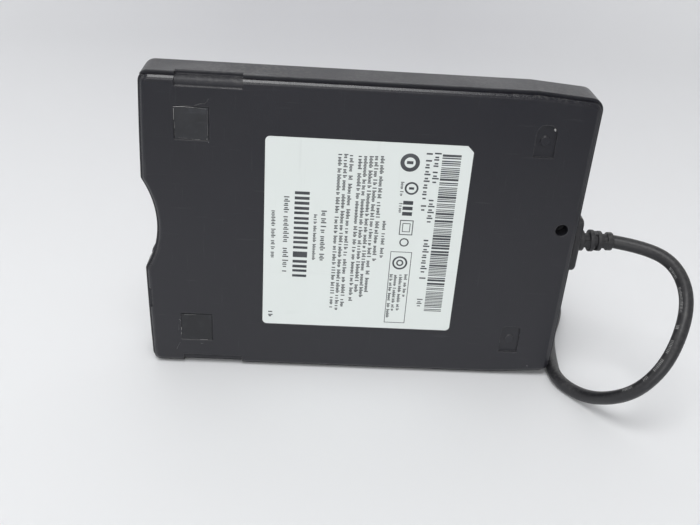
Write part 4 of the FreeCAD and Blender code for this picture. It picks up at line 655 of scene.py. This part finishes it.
class LabelInk:
    """Collects flat blocks of ink on the label. Sizes are in millimetres on its face."""

    def __init__(self):
        self.mesh = bmesh.new()
        self.low = LABEL[0].y - sizes().ink_height
        self.high = LABEL[0].y + INK_BACK

    def bar(self, x0, x1, z0, z1):
        add_block(self.mesh, (x0 * MM, self.low, z0 * MM), (x1 * MM, self.high, z1 * MM))

    def text(self, chance, x, start, end, height, weight, pitch=None):
        """Greeked words down the label: ticks of mixed height, in words, that spell nothing."""
        pitch = pitch or height * PITCH_SHARE
        stroke = pitch * STROKE_SHARE * weight / USUAL_WEIGHT
        base = x - height / 2
        z = start
        word = chance.randint(3, 8)
        while z - pitch > end:
            if word == 0:
                word = chance.randint(2, 9)
                z -= pitch * WORD_GAP
                continue
            word -= 1
            tall = height * chance.choice(TICK_HEIGHTS)
            self.bar(base, base + tall, z - stroke, z)
            if chance.random() < SECOND_TICKS:
                low, high, drop = SECOND_PLACE
                below = z - pitch * drop
                self.bar(base + height * low, base + height * high, below, below + stroke)
            z -= pitch

    def ring(self, x, z, outer, inner):
        """A flat ring of ink."""
        middle = Vector((x * MM, 0.0, z * MM))
        rows = []
        for k in range(RING_SIDES):
            angle = 2 * math.pi * k / RING_SIDES
            way = Vector((math.cos(angle), 0.0, math.sin(angle)))
            far, near = middle + way * outer * MM, middle + way * inner * MM
            rows.append([self.mesh.verts.new((at.x, y, at.z)) for at, y in
                         ((far, self.low), (near, self.low), (near, self.high), (far, self.high))])
        close_loop(self.mesh, rows)

    def frame(self, x0, x1, z0, z1, line):
        self.bar(x0, x1, z0, z0 + line)
        self.bar(x0, x1, z1 - line, z1)
        self.bar(x0, x0 + line, z0 + line, z1 - line)
        self.bar(x1 - line, x1, z0 + line, z1 - line)


class DRIVE_OT_label(bpy.types.Operator):
    """Finish the rating label and lay its greeked print on it"""
    bl_idname = "drive.label"
    bl_label = "Rating Label"

    def execute(self, context):
        dress(label_film("label_film", finishes().label), "rating_label")
        chance = random.Random(7)
        print_ink = LabelInk()
        for line in PRINT_LINES + SPACED_LINES:
            print_ink.text(chance, *line)
        self.bold_band(print_ink, chance)
        self.tick_band(print_ink, chance)
        for draw, shapes in ((print_ink.ring, RINGS), (print_ink.bar, BLOCKS), (print_ink.frame, FRAMES)):
            for shape in shapes:
                draw(*shape)
        finish_piece("label_print", print_ink.mesh, ink("label_ink", finishes().ink))
        return {"FINISHED"}

    @staticmethod
    def bold_band(print_ink, chance):
        """A row of heavy blocks in the place of the largest word."""
        x, start, end, height = BOLD_BAND
        pitch = (start - end) / BOLD_COUNT
        for k in range(BOLD_COUNT):
            z1 = start - k * pitch
            z0 = z1 - pitch * BLOCK_SHARE
            low, high = x - height / 2, x + height / 2
            cut = chance.choice(BLOCK_CUTS)
            if cut:
                middle = (z0 + z1) / 2
                gap = (z1 - z0) * cut / 2
                print_ink.bar(low, high, middle + gap, z1)
                print_ink.bar(low, high, z0, middle - gap)
            else:
                print_ink.bar(low, high, z0 + pitch * 0.1, z1 - pitch * 0.1)

    @staticmethod
    def tick_band(print_ink, chance):
        """Ticks of mixed width across a band. They encode nothing."""
        x0, x1, z0, z1 = TICK_BAND
        z = z1
        while z - 0.5 > z0:
            wide = chance.choice(BAND_WIDTHS)
            print_ink.bar(x0, x1, z - wide, z)
            z -= wide + chance.choice(BAND_GAPS)


# ---- pads ----
# adhesive strands on the underside: thickness against the usual, then X and Z in millimetres
UPPER_STRANDS = (
    (1.7, (-59.37, 93.65), (-57.67, 93.8), (-55.86, 93.9)),
    (0.9, (-55.86, 93.9), (-55.3, 94.1), (-54.85, 93.92), (-54.11, 93.77), (-53.2, 93.7)),
    (0.7, (-55.6, 93.75), (-55.1, 93.5), (-54.5, 93.65), (-54.1, 93.77)),
    (0.5, (-53.07, 93.8), (-52.2, 93.65), (-51.3, 93.55), (-49.5, 93.45)),
    (0.45, (-53.1, 94.2), (-51.94, 94.75), (-51.0, 95.05), (-49.77, 95.05), (-49.37, 95.5), (-49.0, 96.1),
     (-48.7, 96.8)),
    (1.8, (-59.2, 93.2), (-59.25, 92.0), (-59.31, 89.6)),
    (1.0, (-59.2, 89.1), (-59.1, 87.9), (-59.1, 86.9)),
    (0.4, (-59.1, 86.1), (-59.1, 84.5)),
    (0.5, (-49.0, 92.8), (-49.1, 90.0), (-49.1, 87.5), (-49.15, 85.0)),
    (0.35, (-58.0, 84.05), (-56.95, 83.8), (-55.4, 83.84)),
    (0.6, (-54.1, 83.62), (-52.7, 83.57), (-51.5, 83.63)),
    (3.4, (-49.45, 83.95), (-49.3, 83.85)), (2.0, (-48.95, 82.87), (-48.85, 82.8)),
    (5.5, (56.6, 92.95), (56.85, 92.75), (57.0, 92.3)))
LOWER_STRANDS = (
    (0.6, (-58.3, 20.0), (-56.3, 20.1), (-54.2, 20.2)),
    (1.6, (-59.34, 14.8), (-59.38, 13.6)), (1.1, (-59.41, 12.9), (-59.43, 12.0)),
    (0.8, (-60.2, 18.1), (-59.7, 18.05), (-59.4, 17.3)), (0.4, (-60.2, 15.9), (-60.3, 13.6)),
    (0.8, (-53.1, 10.1), (-51.75, 10.17), (-50.4, 10.2)), (0.9, (-52.9, 8.52), (-52.1, 8.56)),
    (0.4, (-60.0, 8.6), (-60.8, 6.9), (-61.2, 5.8)), (2.0, (62.5, 4.4), (62.65, 4.4)))


class DRIVE_OT_pads(bpy.types.Operator):
    """Finish the two front pads and lay the dried adhesive round them"""
    bl_idname = "drive.pads"
    bl_label = "Front Pads"

    def execute(self, context):
        dress(pad_film("pad_film", finishes().pad), "foot_pads")
        adhesive = plastic("dried_adhesive", finishes().residue, roughness=0.3, grain=2000.0, depth=0.5,
                           scratches=0.2, dust=0.8, blotch=0.4)
        for name, strands in (("adhesive_upper", UPPER_STRANDS), ("adhesive_lower", LOWER_STRANDS)):
            self.lay(name, strands, adhesive)
        return {"FINISHED"}

    @staticmethod
    def lay(name, strands, material):
        line = new_line(name, sizes().residue_radius, 2, material)
        chance = random.Random(len(strands))
        for thickness, *strand in strands:
            run = add_run(line, [(x * MM, UNDERSIDE, z * MM) for x, z in strand])
            for point in run.points:
                point.radius = thickness * chance.uniform(0.6, 1.25)
        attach(add_object(name, line), "case")


# ---- lead ----
def coil_points():
    """The coil's turns: two on the floor, winding in, then one and a third on top, winding out."""
    size = sizes()
    floor = size.lead_diameter / 2
    draw_out = 1.0 / math.cos(math.radians(COIL_STEP / 2))
    points = []
    for angle in range(COIL_FIRST, COIL_LAST + 1, COIL_STEP):
        if angle <= COIL_BACK:
            radius = size.coil_radius - size.coil_pitch * (angle - COIL_FIRST) / 360
        else:
            inner = size.coil_radius - 2 * size.coil_pitch
            radius = inner + size.coil_pitch * (angle - COIL_BACK) / 360
        climb = min(1.0, max(0.0, (angle - CLIMB_FIRST) / CLIMB_SPAN))
        height = floor + (size.lead_diameter + TURN_GAP) * climb * climb * (3 - 2 * climb)
        over_tie = max(0.0, 1.0 - abs((angle % 360) - TIE_ANGLE) / TIE_SPAN)
        height += TIE_LIFTS[angle >= COIL_BACK] * over_tie
        turn = math.radians(angle)
        radius *= draw_out
        points.append((size.coil_centre_x + radius * math.cos(turn),
                       size.coil_centre_y + radius * math.sin(turn), height))
    return points


def centreline(curve_object):
    """Points along a curve's own line, as Blender evaluates it with no bevel."""
    bare = curve_object.data.copy()
    bare.bevel_depth = 0.0
    holder = add_object("bare_line", bare)
    bpy.context.view_layer.update()
    line = bpy.data.meshes.new_from_object(holder.evaluated_get(bpy.context.evaluated_depsgraph_get()))
    points = [v.co.copy() for v in line.vertices]
    bpy.data.objects.remove(holder)
    bpy.data.meshes.remove(line)
    bpy.data.curves.remove(bare)
    return points


def crossings(points, y, limit):
    """Where a line crosses the plane at this Y, at lower X than the limit."""
    found = []
    for a, b in zip(points, points[1:]):
        if (a.y - y) * (b.y - y) <= 0 and a.x < limit and a.y != b.y:
            found.append(a.lerp(b, (y - a.y) / (b.y - a.y)))
    return found


class DRIVE_OT_lead(bpy.types.Operator):
    """Lay the lead as one cord, with its printed marks, tie, boot and plug"""
    bl_idname = "drive.lead"
    bl_label = "Lead"

    def execute(self, context):
        jacket = plastic("lead_jacket", finishes().lead, roughness=0.40, grain=2200.0, depth=0.12,
                         scratches=0.4, dust=0.25, wear_and_highlight=0.1)
        moulded = plastic("lead_moulding", finishes().lead, roughness=0.46, grain=3000.0, depth=0.3,
                          scratches=0.4, dust=0.4, wear_and_highlight=0.3)
        dress(moulded, "cable_gland", "cable_boot", "usb_plug_body")
        dress(metal("plug_steel", (0.72, 0.72, 0.70), roughness=0.22, scratches=0.7), "usb_plug_shell")
        dress(plastic("contact_carrier", (0.74, 0.74, 0.70), roughness=0.4, dust=0.1), "usb_plug_contacts")
        lead = self.lay(jacket)
        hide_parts("usb_cable", "cable_coil", "usb_cable_tail")
        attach(lead, "case")
        line = centreline(lead)
        marks = self.marks(line)
        band = self.band(line, moulded)
        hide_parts("cable_tie")
        grips = self.grips(moulded)
        return {"FINISHED"}

    @staticmethod
    def lay(material):
        line = new_line("usb_lead", sizes().lead_diameter / 2, 6, material)
        line.resolution_u = 8
        add_run(line, [*LEAD_RUN, *coil_points(), *LEAD_TAIL])
        return add_object("usb_lead", line)

    @staticmethod
    def marks(line):
        """Greeked print along the hanging loop: ticks in words, on its inner face."""
        mesh = bmesh.new()
        chance = random.Random(3)
        middle = Vector(LOOP_MIDDLE)
        front = Vector(PRINT_FACING)
        radius = sizes().lead_diameter / 2 + PRINT_LIFT
        gone = 0.0
        next_tick = PRINT_START
        for a, b in zip(line, line[1:]):
            along = (b - a).normalized()
            while next_tick < gone + (b - a).length:
                at = a + along * (next_tick - gone)
                if any(low < next_tick < high for low, high in PRINT_WORDS):
                    inward = (middle - at).normalized()
                    facing = front * 0.75 + inward * 0.65
                    facing = (facing - along * facing.dot(along)).normalized()
                    across = along.cross(facing)
                    wide = chance.choice(MARK_WIDTHS)
                    tall = chance.choice(MARK_ANGLES)
                    rows = []
                    for step in (-1.0, -0.5, 0.0, 0.5, 1.0):
                        out = facing * math.cos(step * tall) + across * math.sin(step * tall)
                        rows.append([mesh.verts.new(at + out * radius + along * side * wide)
                                     for side in (-0.5, 0.5)])
                    for low, high in zip(rows, rows[1:]):
                        mesh.faces.new((low[0], low[1], high[1], high[0]))
                next_tick += PRINT_PITCH
            gone += (b - a).length
            if next_tick > PRINT_WORDS[-1][1]:
                break
        return finish_piece("lead_marks", mesh, ink("lead_ink", finishes().lead_print))

    @staticmethod
    def band(line, material):
        """A strap round the coil's turns, drawn tight over them."""
        size = sizes()
        reach = size.lead_diameter / 2 + STRAP_SLACK
        inner = []
        for turn in crossings(line, size.coil_centre_y, size.coil_centre_x):
            for k in range(STRAP_STEPS):
                angle = 2 * math.pi * k / STRAP_STEPS
                inner.append(Vector((turn.x + reach * math.cos(angle),
                                     turn.z + reach * math.sin(angle))))
        hull = [inner[i] for i in geometry.convex_hull_2d(inner)]
        middle = sum(hull, Vector((0.0, 0.0))) / len(hull)
        half = size.strap_width / 2
        mesh = bmesh.new()
        rows = []
        for point in hull:
            way = (point - middle).normalized()
            outer = point + way * size.strap_thick
            outer.y = max(outer.y, 0.0)
            rows.append([mesh.verts.new((place.x, size.coil_centre_y + y * half, place.y))
                         for place, y in ((point, -1), (point, 1), (outer, 1), (outer, -1))])
        close_loop(mesh, rows)
        top = max(hull, key=lambda p: p.y)
        high = top.y + size.strap_thick
        past = half + HEAD_PAST
        add_block(mesh, (top.x - HEAD_REACH, size.coil_centre_y - past, high - HEAD_BELOW),
                  (top.x + HEAD_REACH, size.coil_centre_y + past, high + HEAD_ABOVE))
        return finish_piece("lead_strap", mesh, material)

    @staticmethod
    def grips(material):
        """Bars across both flat faces of the plug, raised on the upper one."""
        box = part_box("usb_plug_body")
        middle = (box[0].y + box[1].y) / 2
        mesh = bmesh.new()
        for k in range(BAR_COUNT):
            x = box[0].x + BAR_START + BAR_PITCH * k
            for low, high in ((box[1].z - BAR_DEPTH, box[1].z + BAR_LIFT),
                              (box[0].z, box[0].z + BAR_DEPTH)):
                add_block(mesh, (x, middle - BAR_REACH, low), (x + BAR_WIDTH, middle + BAR_REACH, high))
        return finish_piece("plug_grips", mesh, material)


# ---- case and mechanism ----
class DRIVE_OT_case(bpy.types.Operator):
    """Finish the case: both covers, bezel, door, button, lamp and screws"""
    bl_idname = "drive.case"
    bl_label = "Case"

    def execute(self, context):
        # Painted on the case: a reflection of the floor that makes it paler low down, and a highlight that
        # is part of the pale edge tint, over the edges and the shaded seam between the covers.
        shell = plastic("case_plastic", finishes().case, roughness=0.38, depth=0.25, scratches=0.5,
                        dust=0.3, wear_and_highlight=0.4, painted_low_reflection=0.6, sheen=0.17, rounded=0.0006,
                        grips={"start": GRIP_START, "end": GRIP_START + GRIP_LENGTH})
        dress(shell, "top_cover", "bottom_cover", "front_bezel", "slot_door")
        dress(plastic("button_plastic", [c * 1.15 for c in finishes().case], roughness=0.42, depth=0.18),
              "eject_button")
        dress(lamp_lens("lamp_lens", finishes().lamp), "led_lens")
        dress(metal("blackened_steel", (0.05, 0.05, 0.052), roughness=0.4), "case_screw", "chassis_screws")
        return {"FINISHED"}


class DRIVE_OT_mechanism(bpy.types.Operator):
    """Finish the chassis, cage, motors, heads and springs"""
    bl_idname = "drive.mechanism"
    bl_label = "Mechanism"

    def execute(self, context):
        steel = finishes().steel
        dress(metal("plated_sheet", steel, roughness=0.36), "chassis_frame", "disk_holder", "slide_plate",
              "rod_clamps", "spindle_hub", "rotor_cup")
        dress(metal("ground_rod", [c * 1.1 for c in steel], roughness=0.2, scratches=0.2), "guide_rods",
              "lead_screw", "arm_pivot_pin", "lever_post", "stepper_motor")
        dress(metal("spring_wire", [c * 0.9 for c in steel], roughness=0.28), "door_spring",
              "eject_springs", "lever_spring", "arm_spring")
        dress(metal("silicon_steel", (0.16, 0.15, 0.15), roughness=0.5, scale=400.0), "stator_core")
        dress(wound_wire("copper_winding", (0.72, 0.30, 0.14)), "stator_coils")
        dress(metal("bearing_brass", (0.62, 0.46, 0.2), roughness=0.3), "spindle_bearing")
        dress(plastic("bonded_magnet", (0.06, 0.055, 0.05), roughness=0.6, grain=1800.0), "rotor_magnet")
        dress(plastic("acetal", (0.76, 0.76, 0.72), roughness=0.42, dust=0.15), "shutter_lever",
              "drive_pin", "screw_bearing", "write_protect_plunger", "disk_in_plunger",
              "density_plunger", "lead_connector")
        dress(plastic("glass_filled", (0.028, 0.028, 0.028), roughness=0.55), "head_carriage",
              "upper_head_arm", "track_zero_sensor", "sense_switches", "main_board_chips",
              "usb_board_parts")
        dress(plastic("head_ceramic", (0.33, 0.31, 0.28), roughness=0.25, grain=6000.0), "lower_head",
              "upper_head")
        return {"FINISHED"}


class DRIVE_OT_boards(bpy.types.Operator):
    """Finish the circuit boards, ribbons and wires"""
    bl_idname = "drive.boards"
    bl_label = "Boards"

    def execute(self, context):
        dress(board_mask("board_mask", finishes().board), "main_board", "usb_board", "spindle_board")
        dress(plastic("polyimide", (0.48, 0.26, 0.07), roughness=0.34, grain=1500.0), "head_flex",
              "board_ribbon")
        dress(plastic("wire_jacket", (0.42, 0.05, 0.04), roughness=0.42, grain=2000.0), "lead_wires")
        return {"FINISHED"}


# ---- stage ----
DRIVE_MIDDLE = (0.0, 0.0, 0.05)
# lamps: name, place, width and the point that it is aimed at, in metres
LAMPS = (("key", (-0.12, -0.36, 1.1), 0.64, DRIVE_MIDDLE),
         ("fill", (-0.2, -1.3, 0.4), 1.1, DRIVE_MIDDLE),
         ("side", (-1.1, -0.1, 0.6), 0.8, DRIVE_MIDDLE),
         ("back", (0.75, 0.45, 0.50), 0.3, (0.72, 0.77, 0.58)),
         ("wash", (-0.25, 0.30, 1.10), 0.6, (-0.25, 0.77, 1.15)))
# the sheet that makes floor and backdrop, in metres
SHEET_REACH = 5.0
SWEEP_START = 0.42
SWEEP_RADIUS = 0.35
SWEEP_STEPS = 24
WALL_HEIGHT = 1.6
CAMERA_LENS = 43.76  # millimetres
CAMERA_PLACE = (-0.016775, -0.254296, 0.17894)
# its right, up and back
CAMERA_AXES = ((0.99781, -0.02088, 0.0628), (-0.04487, 0.48412, 0.87385),
               (-0.04865, -0.87475, 0.48212))


class DRIVE_OT_stage(bpy.types.Operator):
    """Set the floor, backdrop, lamps and camera"""
    bl_idname = "drive.stage"
    bl_label = "Stage"

    def execute(self, context):
        scene = context.scene
        settings = scene.drive_stage
        scene.view_settings.view_transform = "Standard"
        self.backdrop(settings)
        for name, place, width, target in LAMPS:
            self.light(name + "_lamp", place, width, getattr(settings, name + "_power"), target)
        world = bpy.data.worlds.new("studio")
        world.use_nodes = True
        background = world.node_tree.nodes["Background"].inputs
        background["Color"].default_value = (1.0, 1.0, 1.0, 1.0)
        background["Strength"].default_value = settings.ambient
        scene.world = world
        self.camera(scene)
        return {"FINISHED"}

    @staticmethod
    def backdrop(settings):
        """One sheet: flat floor, a wide sweep up, and a wall."""
        mesh = bmesh.new()
        profile = [(-SHEET_REACH, 0.0), (SWEEP_START, 0.0)]
        for k in range(1, SWEEP_STEPS + 1):
            angle = math.pi / 2 * k / SWEEP_STEPS
            profile.append((SWEEP_START + SWEEP_RADIUS * math.sin(angle),
                            SWEEP_RADIUS * (1 - math.cos(angle))))
        profile.append((SWEEP_START + SWEEP_RADIUS, WALL_HEIGHT))
        rows = [[mesh.verts.new((x, y, z)) for x in (-SHEET_REACH, SHEET_REACH)] for y, z in profile]
        for a, b in zip(rows, rows[1:]):
            mesh.faces.new((a[0], a[1], b[1], b[0]))
        sheet = mesh_object("floor_sheet", mesh, floor_paper("floor_paper", settings))
        sheet.data.shade_smooth()

    @staticmethod
    def light(name, place, width, power, target):
        data = bpy.data.lights.new(name, "AREA")
        data.shape = "DISK"
        data.size = width
        data.energy = power
        lamp = add_object(name, data)
        lamp.location = place
        aim = Vector(target) - lamp.location
        lamp.rotation_mode = "QUATERNION"
        lamp.rotation_quaternion = aim.to_track_quat("-Z", "Y")
        lamp.visible_camera = False

    @staticmethod
    def camera(scene):
        data = bpy.data.cameras.new("camera")
        data.sensor_width = 36.0
        data.lens = CAMERA_LENS
        data.clip_start = 0.01
        view = add_object("camera", data)
        turned = Matrix(CAMERA_AXES).transposed().to_4x4()
        view.matrix_world = Matrix.Translation(CAMERA_PLACE) @ turned
        scene.camera = view


# ---- panel and registration ----
class DRIVE_PT_panel(bpy.types.Panel):
    """Lists the drive's pieces and their settings"""
    bl_idname = "DRIVE_PT_panel"
    bl_label = "Disk Drive"
    bl_space_type = "VIEW_3D"
    bl_region_type = "UI"
    bl_category = "Disk Drive"

    def draw(self, context):
        for name, group in SETTINGS:
            column = self.layout.column()
            for key in group.__annotations__:
                column.prop(getattr(context.scene, name), key)
        for operator in PIECES:
            self.layout.operator(operator.bl_idname)


SETTINGS = (("drive_finishes", DriveFinishes), ("drive_sizes", DriveSizes), ("drive_stage", DriveStage))
PIECES = (DRIVE_OT_stage, DRIVE_OT_lead, DRIVE_OT_case, DRIVE_OT_label, DRIVE_OT_pads,
          DRIVE_OT_mechanism, DRIVE_OT_boards)


def register():
    for name, group in SETTINGS:
        bpy.utils.register_class(group)
        setattr(bpy.types.Scene, name, bpy.props.PointerProperty(type=group))
    for operator in PIECES:
        bpy.utils.register_class(operator)
    bpy.utils.register_class(DRIVE_PT_panel)


def unregister():
    bpy.utils.unregister_class(DRIVE_PT_panel)
    for operator in reversed(PIECES):
        bpy.utils.unregister_class(operator)
    for name, group in reversed(SETTINGS):
        delattr(bpy.types.Scene, name)
        bpy.utils.unregister_class(group)


def main():
    register()
    for operator in PIECES:
        getattr(bpy.ops.drive, operator.bl_idname.split(".")[1])()


if __name__ == "__main__":
    main()
